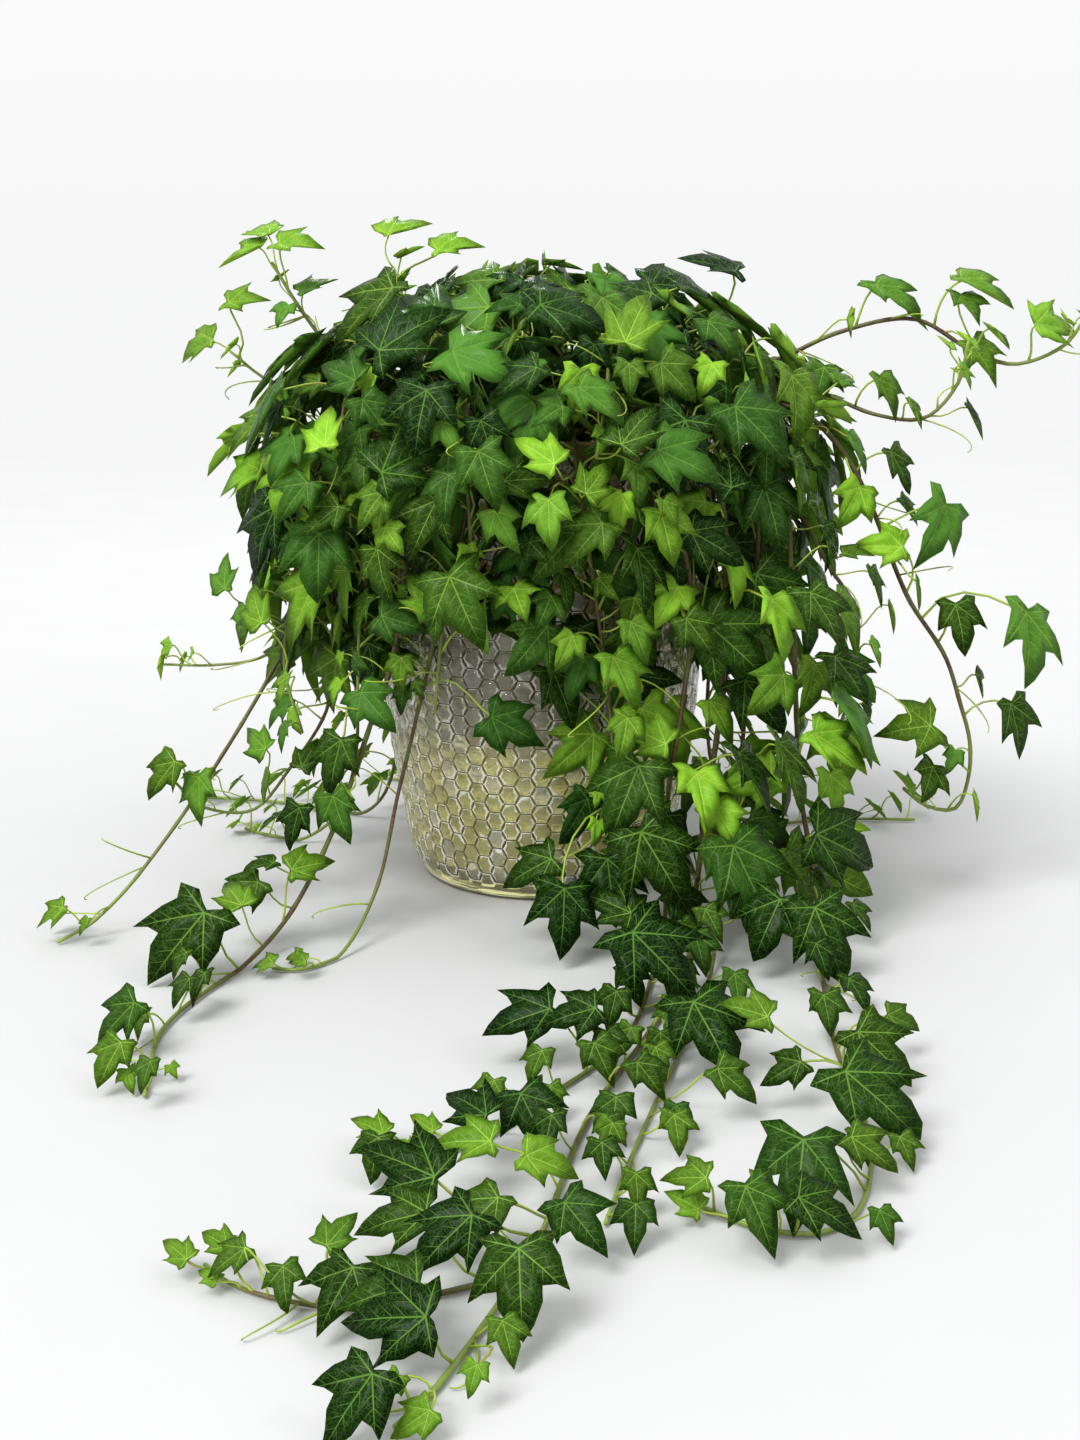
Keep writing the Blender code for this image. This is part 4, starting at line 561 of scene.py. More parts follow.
def vein_lines(paint, across, along):
    """How far a point of the blade lies on a main vein, and on the herringbone of side veins between them.

    A main vein is a ray from the stalk's joint. A point's distance along a ray is its dot product with the ray's
    direction, its distance off the ray is the cross product, and the vein's half width shrinks along the ray.
    """
    rays = [(math.sin(a), math.cos(a), length) for a, length in zip(VEIN_ANGLES, (1.00, 0.76, 0.48))]
    main, nearest, herringbone = None, None, None
    for right, ahead, length in rays:
        along_ray = paint.math("ADD", paint.math("MULTIPLY", across, right), paint.math("MULTIPLY", along, ahead))
        crossed = paint.math("SUBTRACT", paint.math("MULTIPLY", across, ahead), paint.math("MULTIPLY", along, right))
        off_ray = paint.math("ABSOLUTE", crossed)
        width = paint.between(along_ray, 0.0, length, 0.018, 0.005)
        line = paint.math("SUBTRACT", 1.0, paint.math("DIVIDE", off_ray, width), clamp=True)
        line = paint.math("MULTIPLY", line, paint.between(along_ray, -0.02, 0.0))
        branch = paint.math("FRACT", paint.math("DIVIDE", paint.math("SUBTRACT", along_ray, paint.math(
            "MULTIPLY", off_ray, 1.10)), 0.150))
        branch = paint.math("ABSOLUTE", paint.math("SUBTRACT", branch, 0.5))
        branch = paint.between(branch, 0.075, 0.015)
        behind = paint.between(along_ray, 0.03, 0.0)
        off_ray = paint.math("ADD", off_ray, behind)
        if main is None:
            main, nearest, herringbone = line, off_ray, branch
        else:
            main = paint.math("MAXIMUM", main, line)
            closer = paint.math("LESS_THAN", off_ray, nearest)
            herringbone = paint.math("ADD", paint.math("MULTIPLY", branch, closer), paint.math(
                "MULTIPLY", herringbone, paint.math("SUBTRACT", 1.0, closer)))
            nearest = paint.math("MINIMUM", nearest, off_ray)
    herringbone = paint.math("MULTIPLY", herringbone, paint.between(nearest, 0.20, 0.02))
    return main, herringbone


def leaf_material(settings):
    """Ivy leaf: dark glossy top with pale veins and a painted blue-green sheen on the crown, a pale matt underside,
    lime where young, light passing through.
    """
    paint = Paint("ivy_leaf")
    place = paint.place("UV")
    split = paint.tree.nodes.new("ShaderNodeSeparateXYZ")
    paint.join(place, split.inputs[0])
    across = paint.math("ABSOLUTE", paint.math("MULTIPLY", paint.math("SUBTRACT", split.outputs[0], 0.5), 2.0))
    along = paint.math("DIVIDE", paint.math("SUBTRACT", split.outputs[1], 0.3), 0.65)
    young, tone, under, faded = (paint.attribute(n) for n in ("young", "tone", "under", "faded"))
    main, herringbone = vein_lines(paint, across, along)
    net = paint.between(paint.cells(place, 34.0), 0.10, 0.02)
    veins = paint.math("MAXIMUM", main, paint.math("MULTIPLY", herringbone, 0.55))
    veins = paint.math("MAXIMUM", veins, paint.math("MULTIPLY", net, 0.18))
    solid = paint.place()
    clouds = paint.noise(solid, 70.0, 3.0)
    dark = paint.mix(clouds, (*settings.old_dark, 1.0), (*settings.old_light, 1.0))
    spot = paint.tree.nodes.new("ShaderNodeSeparateXYZ")
    paint.join(solid, spot.inputs[0])
    # Painted sheen: old blades high on the crown turn blue-green, as if they reflected the sky.
    high = paint.math("MULTIPLY", paint.between(spot.outputs[2], 0.26, 0.35), paint.between(
        paint.noise(solid, 14.0, 1.0), 0.38, 0.56))
    dark = paint.mix(paint.math("MULTIPLY", high, 0.8), dark, (*settings.old_crown_sheen, 1.0))
    dark = paint.mix(tone, dark, (*settings.old_bright, 1.0))
    lime = paint.mix(clouds, (*settings.young_dark, 1.0), (*settings.young_light, 1.0))
    blade = paint.mix(paint.math("POWER", young, 1.9), dark, lime)
    spent = paint.math("MULTIPLY", faded, paint.between(paint.noise(solid, 130.0, 2.0), 0.42, 0.58))
    blade = paint.mix(spent, blade, (0.420, 0.270, 0.014, 1.0))
    vein_colour = paint.mix(young, (0.100, 0.225, 0.042, 1.0), (0.430, 0.630, 0.100, 1.0))
    top = paint.mix(veins, blade, vein_colour)
    pale = paint.mix(young, (0.085, 0.200, 0.022, 1.0), (0.340, 0.560, 0.060, 1.0))
    pale = paint.mix(spent, pale, (0.440, 0.320, 0.040, 1.0))
    pale = paint.mix(paint.math("MULTIPLY", veins, 0.6), pale, (0.360, 0.520, 0.120, 1.0))
    colour = paint.mix(under, top, pale)
    relief = paint.math("SUBTRACT", paint.math("MULTIPLY", paint.noise(solid, 240.0, 3.0), 0.5), veins)
    paint.bump(relief, 0.30, 0.0005)
    roughness = paint.between(paint.math("ADD", under, paint.math("MULTIPLY", clouds, 0.25)), 0.0, 1.2, 0.24, 0.60)
    paint.set(
        Base_Color=colour, Roughness=roughness, Specular_IOR_Level=0.08, Subsurface_Weight=settings.leaf_glow,
        Subsurface_Scale=0.0016,
    )
    paint.shader.inputs["Subsurface Radius"].default_value = (0.6, 1.0, 0.15)
    return paint.material


def stalk_material():
    """Thin leaf stalks, yellow-green with a blush of red-brown."""
    paint = Paint("ivy_stalk")
    blush = paint.between(paint.noise(paint.place(), 40.0, 2.0), 0.48, 0.68)
    colour = paint.mix(paint.attribute("young"), (0.280, 0.380, 0.055, 1.0), (0.440, 0.600, 0.070, 1.0))
    colour = paint.mix(paint.math("MULTIPLY", blush, 0.40), colour, (0.240, 0.120, 0.040, 1.0))
    return paint.set(Base_Color=colour, Roughness=0.42)


def floor_material(settings):
    """Pale matt floor with the faintest mottling."""
    paint = Paint("pale_floor")
    mottle = paint.noise(paint.place(), 9.0, 4.0)
    pale = settings.floor_colour
    darker = tuple(0.96 * c for c in pale)
    colour = paint.mix(mottle, (*darker, 1.0), (*pale, 1.0))
    return paint.set(Base_Color=colour, Roughness=1.0, Specular_IOR_Level=0.0)


# Planter, pot and soil


def planter_radius(height):
    heights = [h for h, _ in PLANTER_PROFILE]
    radii = [r for _, r in PLANTER_PROFILE]
    return np.interp(height, heights, radii)


def smooth_planter_radius(height):
    """The profile's radius, averaged over a short stretch of height so that its corners are eased."""
    spread = np.linspace(-0.010, 0.010, 9)
    near = np.clip(np.asarray(height)[..., None] + spread * np.minimum(
        1.0, np.asarray(height)[..., None] / 0.010), 0.0, PLANTER_HEIGHT)
    return planter_radius(near).mean(axis=-1)


def circle(radius, height, count, turn=0.0):
    angles = (np.arange(count) + turn) * (2.0 * math.pi / count)
    return np.stack([radius * np.cos(angles), radius * np.sin(angles), np.full(count, height)], axis=1)


def honeycomb(across, up, columns):
    """Height of the relief, from 0 in a groove to about 1 on a facet, and each facet's number from 0 to 1, which picks
    its painted reflection and glint, at places given in thirds of a column round and in half cells up.

    Flat-topped hexagons stand in columns, every second column half a cell higher. Of the two nearest columns' cells the
    nearer one counts, by the hexagon's own measure: the larger of the upward distance and half of it plus 0.87 of the
    sideways one. The relief rises steeply from the edge to a slightly crowned facet; each facet leans a little its own
    way and gets its own number for its painted reflection, both by the sine of its numbers.
    """
    nearest, relief, tone = None, None, None
    for nudge in (0.0, 1.0):
        column = np.floor(across / 3.0) + nudge
        odd = np.mod(column, 2.0)
        row = np.round((up - 1.0 + odd) / 2.0) * 2.0 + 1.0 - odd
        side, rise = (across - 3.0 * column) / math.sqrt(3.0), up - row
        far = np.maximum(np.abs(rise), 0.5 * np.abs(rise) + 0.5 * math.sqrt(3.0) * np.abs(side))
        number = np.mod(column, columns) * 12.9898 + row * 39.425
        lean = LEAN_SHARE * (np.sin(number) * side + np.sin(1.7 * number + 1.0) * rise)
        height = np.clip((1.0 - far) / GROOVE_SHARE, 0.0, 1.0) * (1.0 + lean) - DOME_SHARE * far**2
        facet_pick = np.mod(np.sin(number) * 43.7585, 1.0)
        closer = True if nearest is None else far < nearest
        relief = height if nearest is None else np.where(closer, height, relief)
        tone = facet_pick if nearest is None else np.where(closer, facet_pick, tone)
        nearest = far if nearest is None else np.minimum(nearest, far)
    return relief, tone


def planter_piece(settings):
    """Outer wall: the planter's radius at a height, plus the honeycomb's relief, over a grid of angle and height.

    The grid's lines pass through every corner and edge of the hexagons, and lie closer beside them. Each square
    is split along the diagonal that lies lower, which keeps the slanting grooves sharp. A smooth foot is below
    and a smooth lip above; these, the inner wall and the inner floor are rings of the same number of points,
    and each end is closed by a fan.
    """
    steps = np.array(GRID_STEPS)
    across = (np.arange(3 * settings.cell_columns)[:, None] + steps).ravel()
    up = np.append((np.arange(2 * settings.cell_rows)[:, None] + steps).ravel(), 2.0 * settings.cell_rows)
    count = len(across)
    angle = across * (2.0 * math.pi / (3 * settings.cell_columns))
    height = FOOT_BAND + up / up[-1] * (PLANTER_HEIGHT - LIP_BAND - FOOT_BAND)
    relief, tone = honeycomb(across[None, :], up[:, None], settings.cell_columns)
    outer = smooth_planter_radius(height)[:, None] + settings.cell_relief * (relief - 0.4)
    wall = np.stack([outer * np.cos(angle), outer * np.sin(angle), np.repeat(height[:, None], count, axis=1)], axis=-1)
    foot = [(0.020, 0.0), (0.050, 0.0), (0.066, 0.0), (0.0715, 0.0), (0.0742, 0.0006), (0.0760, 0.0022)]
    foot += [(float(smooth_planter_radius(z)) - 0.0004, z) for z in (0.005, 0.008, 0.011)]
    top = float(planter_radius(PLANTER_HEIGHT))
    lip = [(float(smooth_planter_radius(z)), z) for z in (0.2782, 0.2805, 0.2828)]
    lip += [(top - 0.0004, 0.2842), (top - 0.0016, 0.2849), (top - 0.0030, 0.2851), (top - 0.0045, 0.2849)]
    for z in (0.2838, 0.270, 0.235, 0.194, 0.158, 0.123, 0.098, 0.075, 0.051, 0.036, 0.022, 0.0165):
        lip.append((float(smooth_planter_radius(z)) - PLANTER_WALL - 0.0004, z))
    lip += [(0.0705, 0.0135), (0.066, PLANTER_FLOOR), (0.045, PLANTER_FLOOR), (0.020, PLANTER_FLOOR)]

    def ring(radius, z):
        return np.stack([radius * np.cos(angle), radius * np.sin(angle), np.full(count, z)], axis=-1)[None]

    grid = np.concatenate([ring(r, z) for r, z in foot] + [wall] + [ring(r, z) for r, z in lip])
    points = np.concatenate([grid.reshape(-1, 3), [[0.0, 0.0, 0.0], [0.0, 0.0, PLANTER_FLOOR]]])
    quads = np.array(grid_faces(len(grid), count, True))
    low, facet = np.full((len(grid), count), 1.0), np.full((len(grid), count), 0.7)
    low[len(foot):len(foot) + len(up)] = relief
    facet[len(foot):len(foot) + len(up)] = tone
    groove = np.append(np.clip(1.0 - DOME_SHARE - LEAN_SHARE * 0.5 - low, 0.0, 1.0).ravel(), (0.0, 0.0))
    low = low.ravel()[quads]
    first_lower = low[:, 0] + low[:, 2] <= low[:, 1] + low[:, 3]
    one, two = quads[first_lower], quads[~first_lower]
    faces = np.concatenate([one[:, [0, 1, 2]], one[:, [0, 2, 3]], two[:, [0, 1, 3]], two[:, [1, 2, 3]]]).tolist()
    piece = shown_piece("glass_planter_fine", points, faces + end_fans(len(points), len(grid), count))
    own_values(piece.data, "groove", groove)
    # Each facet's number picks its painted reflection, darker or nearly white.
    own_values(piece.data, "facet", np.append(facet.ravel(), (0.7, 0.7)))
    return piece


def end_fans(total, rows, columns):
    """Triangles that close the first and the last ring, to the two poles that stand last in the points."""
    low_pole, high_pole, last = total - 2, total - 1, (rows - 1) * columns
    faces = []
    for i in range(columns):
        j = (i + 1) % columns
        faces += [[low_pole, j, i], [high_pole, last + i, last + j]]
    return faces


def turned_piece(name, profile, sides, ripple=None):
    """A profile of (radius, height) turned round the axis; ripple adds to the radius at each angle and row."""
    angle = np.arange(sides) * (2.0 * math.pi / sides)
    radius = np.array([r for r, _ in profile])[:, None] + np.zeros(sides)[None, :]
    if ripple is not None:
        radius = radius + ripple(angle, len(profile))
    height = np.repeat(np.array([z for _, z in profile])[:, None], sides, axis=1)
    grid = np.stack([radius * np.cos(angle), radius * np.sin(angle), height], axis=-1)
    poles = [[0.0, 0.0, profile[0][1]], [0.0, 0.0, profile[-1][1]]]
    points = np.concatenate([grid.reshape(-1, 3), poles])
    faces = grid_faces(len(profile), sides, True) + end_fans(len(points), len(profile), sides)
    return shown_piece(name, points, faces)


def nursery_piece():
    """The pot's wall up to its rolled rim and down its inside, with shallow flutes round the wall."""
    bottom, base = NURSERY_BOTTOM
    shoulder, shoulder_height = NURSERY_SHOULDER
    rim, rim_top, wall = NURSERY_RIM_RADIUS, NURSERY_RIM_TOP, NURSERY_WALL
    outer = [(0.020, base), (0.050, base), (bottom - 0.004, base), (bottom - 0.0006, base + 0.0010)]
    outer += [(bottom + (shoulder - bottom) * t, base + (shoulder_height - base) * t) for t in np.linspace(0.02, 1.0, 12)]
    outer += [(rim - 0.0010, shoulder_height + 0.0006), (rim, shoulder_height + 0.0016), (rim, rim_top - 0.0016)]
    outer += [(rim - 0.0004, rim_top - 0.0003), (rim - 0.0012, rim_top), (rim - wall - 0.0002, rim_top - 0.0008)]
    inner = [(shoulder - wall + (rim - shoulder) * 0.9 * t, shoulder_height + 0.001 + (rim_top - shoulder_height - 0.004) * t) for t in (1.0, 0.5, 0.0)]
    inner += [(bottom - wall + (shoulder - bottom) * t, base + wall + (shoulder_height - base - wall) * t) for t in (0.95, 0.6, 0.3, 0.03)]
    inner += [(bottom - 0.006, base + wall), (0.030, base + wall)]
    profile = outer + inner

    def flutes(angle, rows):
        depth = np.zeros(rows)
        depth[5:14] = 0.0005
        return depth[:, None] * np.sin(24.0 * angle)[None, :]

    return turned_piece("nursery_pot_fine", profile, 144, flutes)


def soil_piece():
    """A plug with a crumbly top: the crown's height plus waves of three sizes over radius and angle."""
    bottom, base = NURSERY_BOTTOM
    shoulder, shoulder_height = NURSERY_SHOULDER
    inset = NURSERY_WALL + SOIL_GAP
    draw = np.random.default_rng(11)
    sides, rows = 160, 46
    angle = np.arange(sides) * (2.0 * math.pi / sides)
    radius = np.linspace(0.003, shoulder - inset, rows)[::-1]
    x, y = radius[:, None] * np.cos(angle), radius[:, None] * np.sin(angle)
    height = np.full_like(x, SOIL_TOP) + SOIL_CROWN * (1.0 - (radius / shoulder) ** 2)[:, None]
    for size, amount in ((0.021, 0.0012), (0.009, 0.0009), (0.0045, 0.0006)):
        for _ in range(7):
            turn, phase = draw.uniform(0.0, 2.0 * math.pi, 2)
            wave = np.sin((x * math.cos(turn) + y * math.sin(turn)) * 2.0 * math.pi / size + phase)
            height += amount * 0.4 * wave
    height[0] = np.minimum(height[0], shoulder_height)
    top = np.stack([x, y, height], axis=-1)
    below = [(bottom - inset - 0.004, base + inset), (bottom - inset, base + inset + 0.003)]
    below += [(0.5 * (bottom + shoulder) - inset, 0.5 * (base + shoulder_height))]
    grid = np.concatenate([circle(r, z, sides)[None] for r, z in below] + [top], axis=0)
    points = np.concatenate([grid.reshape(-1, 3), [[0.0, 0.0, base + inset], [0.0, 0.0, float(height[-1].mean())]]])
    faces = grid_faces(len(grid), sides, True) + end_fans(len(points), len(grid), sides)
    return shown_piece("potting_soil_fine", points, faces)


# Stems, as in the solids


def smooth_route(points, step):
    """A curve through the points: cubic Hermite pieces whose slopes come from each point's two neighbours."""
    points = np.asarray(points, float)
    chord = np.linalg.norm(np.diff(points, axis=0), axis=1)
    reach = np.concatenate([[0.0], np.cumsum(chord)])
    slope = np.empty_like(points)
    slope[1:-1] = (points[2:] - points[:-2]) / (reach[2:] - reach[:-2])[:, None]
    slope[0] = (points[1] - points[0]) / chord[0]
    slope[-1] = (points[-1] - points[-2]) / chord[-1]
    at = np.linspace(0.0, reach[-1], max(4, int(round(reach[-1] / step))))
    piece = np.clip(np.searchsorted(reach, at, side="right") - 1, 0, len(chord) - 1)
    span = chord[piece][:, None]
    t = ((at - reach[piece]) / chord[piece])[:, None]
    return (
        (2 * t**3 - 3 * t**2 + 1) * points[piece] + (t**3 - 2 * t**2 + t) * span * slope[piece]
        + (-2 * t**3 + 3 * t**2) * points[piece + 1] + (t**3 - t**2) * span * slope[piece + 1]
    )


def polar(azimuth, radius, height):
    return (radius * math.cos(azimuth), radius * math.sin(azimuth), height)


def outer_routes():
    """Every stem's radius and its route outside the pot, the seen ones first."""
    routes = dict(SEEN_STEMS)
    for k in range(SHOULDER_STEMS):
        azimuth = 2.0 * math.pi * (k + 0.3) / SHOULDER_STEMS
        ends = len(SHOULDER_ROUTE) - (k * 2) % 3
        twist = 0.10 * math.sin(2.6 * k)
        points = [polar(azimuth + twist * i, r, z) for i, (r, z) in enumerate(SHOULDER_ROUTE[:ends])]
        routes[f"shoulder_stem_{k + 1}"] = (SHOULDER_RADIUS, tuple(points))
    for k in range(CROWN_STEMS):
        azimuth = 2.0 * math.pi * (k + 0.75) / CROWN_STEMS
        points = [polar(azimuth + 0.12 * i, r, z) for i, (r, z) in enumerate(CROWN_ROUTE)]
        routes[f"crown_stem_{k + 1}"] = (CROWN_RADIUS, tuple(points))
    for name, azimuth, run, turn in BACK_STEMS:
        start = math.radians(azimuth)
        points = [polar(start, r, z) for r, z in BACK_ROUTE]
        heading = start
        for _ in range(3):
            heading += math.radians(turn) / 3.0
            x, y, z = points[-1]
            points.append((x + run / 3.0 * math.cos(heading), y + run / 3.0 * math.sin(heading), z))
        routes[name] = (BACK_RADIUS, tuple(points))
    return routes


def rooted_routes():
    """Each outer route led back to a root of its own, from a sunflower pattern of roots in the soil."""
    routes = outer_routes()
    count = len(routes)
    free = []
    for k in range(count):
        radius = ROOT_ZONE * math.sqrt((k + 0.5) / count)
        free.append(polar(k * GOLDEN_ANGLE, radius, SOIL_TOP))
    rooted = {}
    for name, (radius, outer) in routes.items():
        azimuth = math.atan2(outer[0][1], outer[0][0])
        wanted = polar(azimuth, min(ROOT_ZONE, math.hypot(outer[0][0], outer[0][1])), SOIL_TOP)
        root = min(free, key=lambda spot: math.dist(spot, wanted))
        free.remove(root)
        x, y, z = root
        start = [(x, y, z - ROOT_DEPTH), (x, y, z + 0.004), (x * 1.04, y * 1.04, z + 0.022)]
        if outer[0][2] < RIM_CROSSING[1]:
            rise = 0.010 * (1.0 - math.hypot(x, y) / ROOT_ZONE)
            start.append(polar(azimuth, RIM_CROSSING[0], RIM_CROSSING[1] + rise))
        line = smooth_route(start + list(outer), ROUTE_STEP)
        line[:UPRIGHT_POINTS, :2] = (x, y)
        rooted[name] = (radius, line)
    return rooted


def part_routes(routes, rounds=40):
    """Stems that come too near each other are moved apart, a little at a time, with their roots kept."""
    names = list(routes)
    stacked = np.concatenate([routes[n][1] for n in names])
    radius = np.concatenate([np.full(len(routes[n][1]), routes[n][0]) for n in names])
    owner = np.concatenate([np.full(len(routes[n][1]), k) for k, n in enumerate(names)])
    order = np.concatenate([np.arange(len(routes[n][1])) for n in names])
    fixed = order < UPRIGHT_POINTS
    for _ in range(rounds):
        nearby = KDTree(len(stacked))
        for k, place in enumerate(stacked):
            nearby.insert(place, k)
        nearby.balance()
        push = np.zeros_like(stacked)
        for k, place in enumerate(stacked):
            for other, index, far in nearby.find_range(place, STEM_CLEARANCE):
                if owner[index] != owner[k]:
                    push[k] += (place - np.array(other)) * (0.5 * (STEM_CLEARANCE - far) / (far + 1e-9))
        inner = (owner[:-2] == owner[2:])[:, None]
        smooth = 0.25 * push[:-2] + 0.5 * push[1:-1] + 0.25 * push[2:]
        push[1:-1] = np.where(inner, smooth, push[1:-1])
        push[fixed] = 0.0
        length = np.linalg.norm(push, axis=1, keepdims=True) + 1e-12
        stacked = stacked + push * np.minimum(1.0, 0.003 / length)
        stacked[:, 2] = np.where(fixed, stacked[:, 2], np.maximum(stacked[:, 2], radius + FLOOR_REST))
        stacked = clear_of_planter(stacked, radius, fixed)
    return {n: (routes[n][0], stacked[owner == k]) for k, n in enumerate(names)}


def clear_of_planter(points, radius, fixed):
    """Points beside the glass are moved out to clear it, and points over its rim are lifted."""
    across = np.hypot(points[:, 0], points[:, 1])
    heights = [h for h, _ in PLANTER_PROFILE]
    radii = [r for _, r in PLANTER_PROFILE]
    least = np.interp(points[:, 2], heights, radii) + CELL_RELIEF + radius + 0.003
    rim_low, rim_high = 0.092, 0.104
    beside = ~fixed & (across > rim_high) & (points[:, 2] < PLANTER_HEIGHT + 0.004)
    grow = np.where(beside, np.maximum(1.0, least / np.maximum(across, 1e-6)), 1.0)
    over = ~fixed & (across > rim_low) & (across <= rim_high) & (points[:, 2] > PLANTER_HEIGHT - 0.012)
    points = points * np.stack([grow, grow, np.ones_like(grow)], axis=1)
    points[:, 2] = np.where(over, np.maximum(points[:, 2], PLANTER_HEIGHT + radius + 0.004), points[:, 2])
    return points


def thin_route(points, rooted):
    """Indices of the points that a plain tube needs: more where it bends, few where it runs straight."""
    heading = np.diff(points, axis=0)
    length = np.linalg.norm(heading, axis=1)
    heading = heading / length[:, None]
    kept, bend, span = [0], 0.0, 0.0
    if rooted:
        kept.append(UPRIGHT_POINTS - 1)
    for i in range(kept[-1] + 1, len(points) - 1):
        bend += math.acos(max(-1.0, min(1.0, float(heading[i - 1] @ heading[i]))))
        span += length[i - 1]
        if bend > MOST_BEND or span > MOST_SPAN:
            kept.append(i)
            bend, span = 0.0, 0.0
    return kept + [len(points) - 1]


def make_stems():
    """Stems as the plain lines of the solids, each with its smooth line for the fine surface."""
    stems = {}
    for name, (radius, dense) in part_routes(rooted_routes()).items():
        kept = thin_route(dense, True)
        taper = radius * np.linspace(1.0, STEM_TIP_SHARE, len(dense))
        stems[name] = {
            "node": name, "radius": radius, "points": dense[kept], "radii": taper[kept], "dense": dense, "taper": taper,
        }
    parent, radius, route = SPRIG
    spine = stems[parent]["points"]
    start = spine[np.argmin(np.linalg.norm(spine - np.asarray(route[0]), axis=1))]
    dense = smooth_route([tuple(start)] + list(route[1:]), ROUTE_STEP)
    dense[1:, 2] = np.maximum(dense[1:, 2], radius + FLOOR_REST)
    kept = thin_route(dense, False)
    taper = radius * np.linspace(1.0, STEM_TIP_SHARE, len(dense))
    stems["sprig"] = {
        "node": parent, "radius": radius, "points": dense[kept], "radii": taper[kept], "dense": dense, "taper": taper,
    }
    return stems


# Leaf places, as in the solids


def tube(points, radii, sides=6, swell=1.18):
    """Points and faces of a plain tube round a line, a little larger than the stem, for clearance."""
    heading = np.gradient(points, axis=0)
    heading = heading / np.linalg.norm(heading, axis=1)[:, None]
    side = np.cross(heading, (0.0, 0.0, 1.0))
    weak = np.linalg.norm(side, axis=1) < 0.05
    side[weak] = np.cross(heading[weak], (0.0, 1.0, 0.0))
    side = side / np.linalg.norm(side, axis=1)[:, None]
    up = np.cross(side, heading)
    angles = np.arange(sides) * (2.0 * math.pi / sides)
    reach = (np.asarray(radii) * swell + LEAF_GAP)[:, None, None]
    spread = np.cos(angles)[None, :, None] * side[:, None, :] + np.sin(angles)[None, :, None] * up[:, None, :]
    rings = (points[:, None, :] + reach * spread).reshape(-1, 3)
    faces = []
    for k in range(len(points) - 1):
        for i in range(sides):
            j = (i + 1) % sides
            a, b = k * sides, (k + 1) * sides
            faces += [(a + i, a + j, b + j), (a + i, b + j, b + i)]
    return rings, faces


def planter_guard():
    """A plain turned surface that leaves keep clear of: the glass with its facets, its rim and the soil."""
    outline = [(r + CELL_RELIEF + LEAF_GAP, h) for h, r in PLANTER_PROFILE]
    outline[-1] = (outline[-1][0], PLANTER_HEIGHT + LEAF_GAP)
    outline += [(float(planter_radius(PLANTER_HEIGHT)) - PLANTER_WALL - LEAF_GAP, PLANTER_HEIGHT + LEAF_GAP)]
    outline += [(NURSERY_RIM_RADIUS - 2.0 * NURSERY_WALL, NURSERY_RIM_TOP), (0.090, SOIL_TOP + SOIL_CROWN)]
    outline += [(0.001, SOIL_TOP + 2.0 * SOIL_CROWN)]
    rings = np.concatenate([circle(r, z, GUARD_SIDES) for r, z in outline])
    faces = []
    for k in range(len(outline) - 1):
        a, b = k * GUARD_SIDES, (k + 1) * GUARD_SIDES
        for i in range(GUARD_SIDES):
            j = (i + 1) % GUARD_SIDES
            faces += [(a + i, a + j, b + j), (a + i, b + j, b + i)]
    return rings, faces


def tree_of(points, faces):
    return BVHTree.FromPolygons([tuple(p) for p in points], faces)


def unit(vector):
    return vector / max(1e-12, float(np.linalg.norm(vector)))


def blade_frame(normal, tip):
    """Across, along and normal axes of a blade, its along axis as near to tip as the normal lets it be."""
    normal = unit(normal)
    along = unit(tip - normal * float(tip @ normal))
    return np.cross(along, normal), along, normal


def blade_rise(across, along, fold, droop):
    """How far the blade stands above its plane: sides raised by the fold, lobes let down by the droop."""
    return fold * abs(across) - droop * (across * across + 0.8 * max(0.0, along) ** 2)


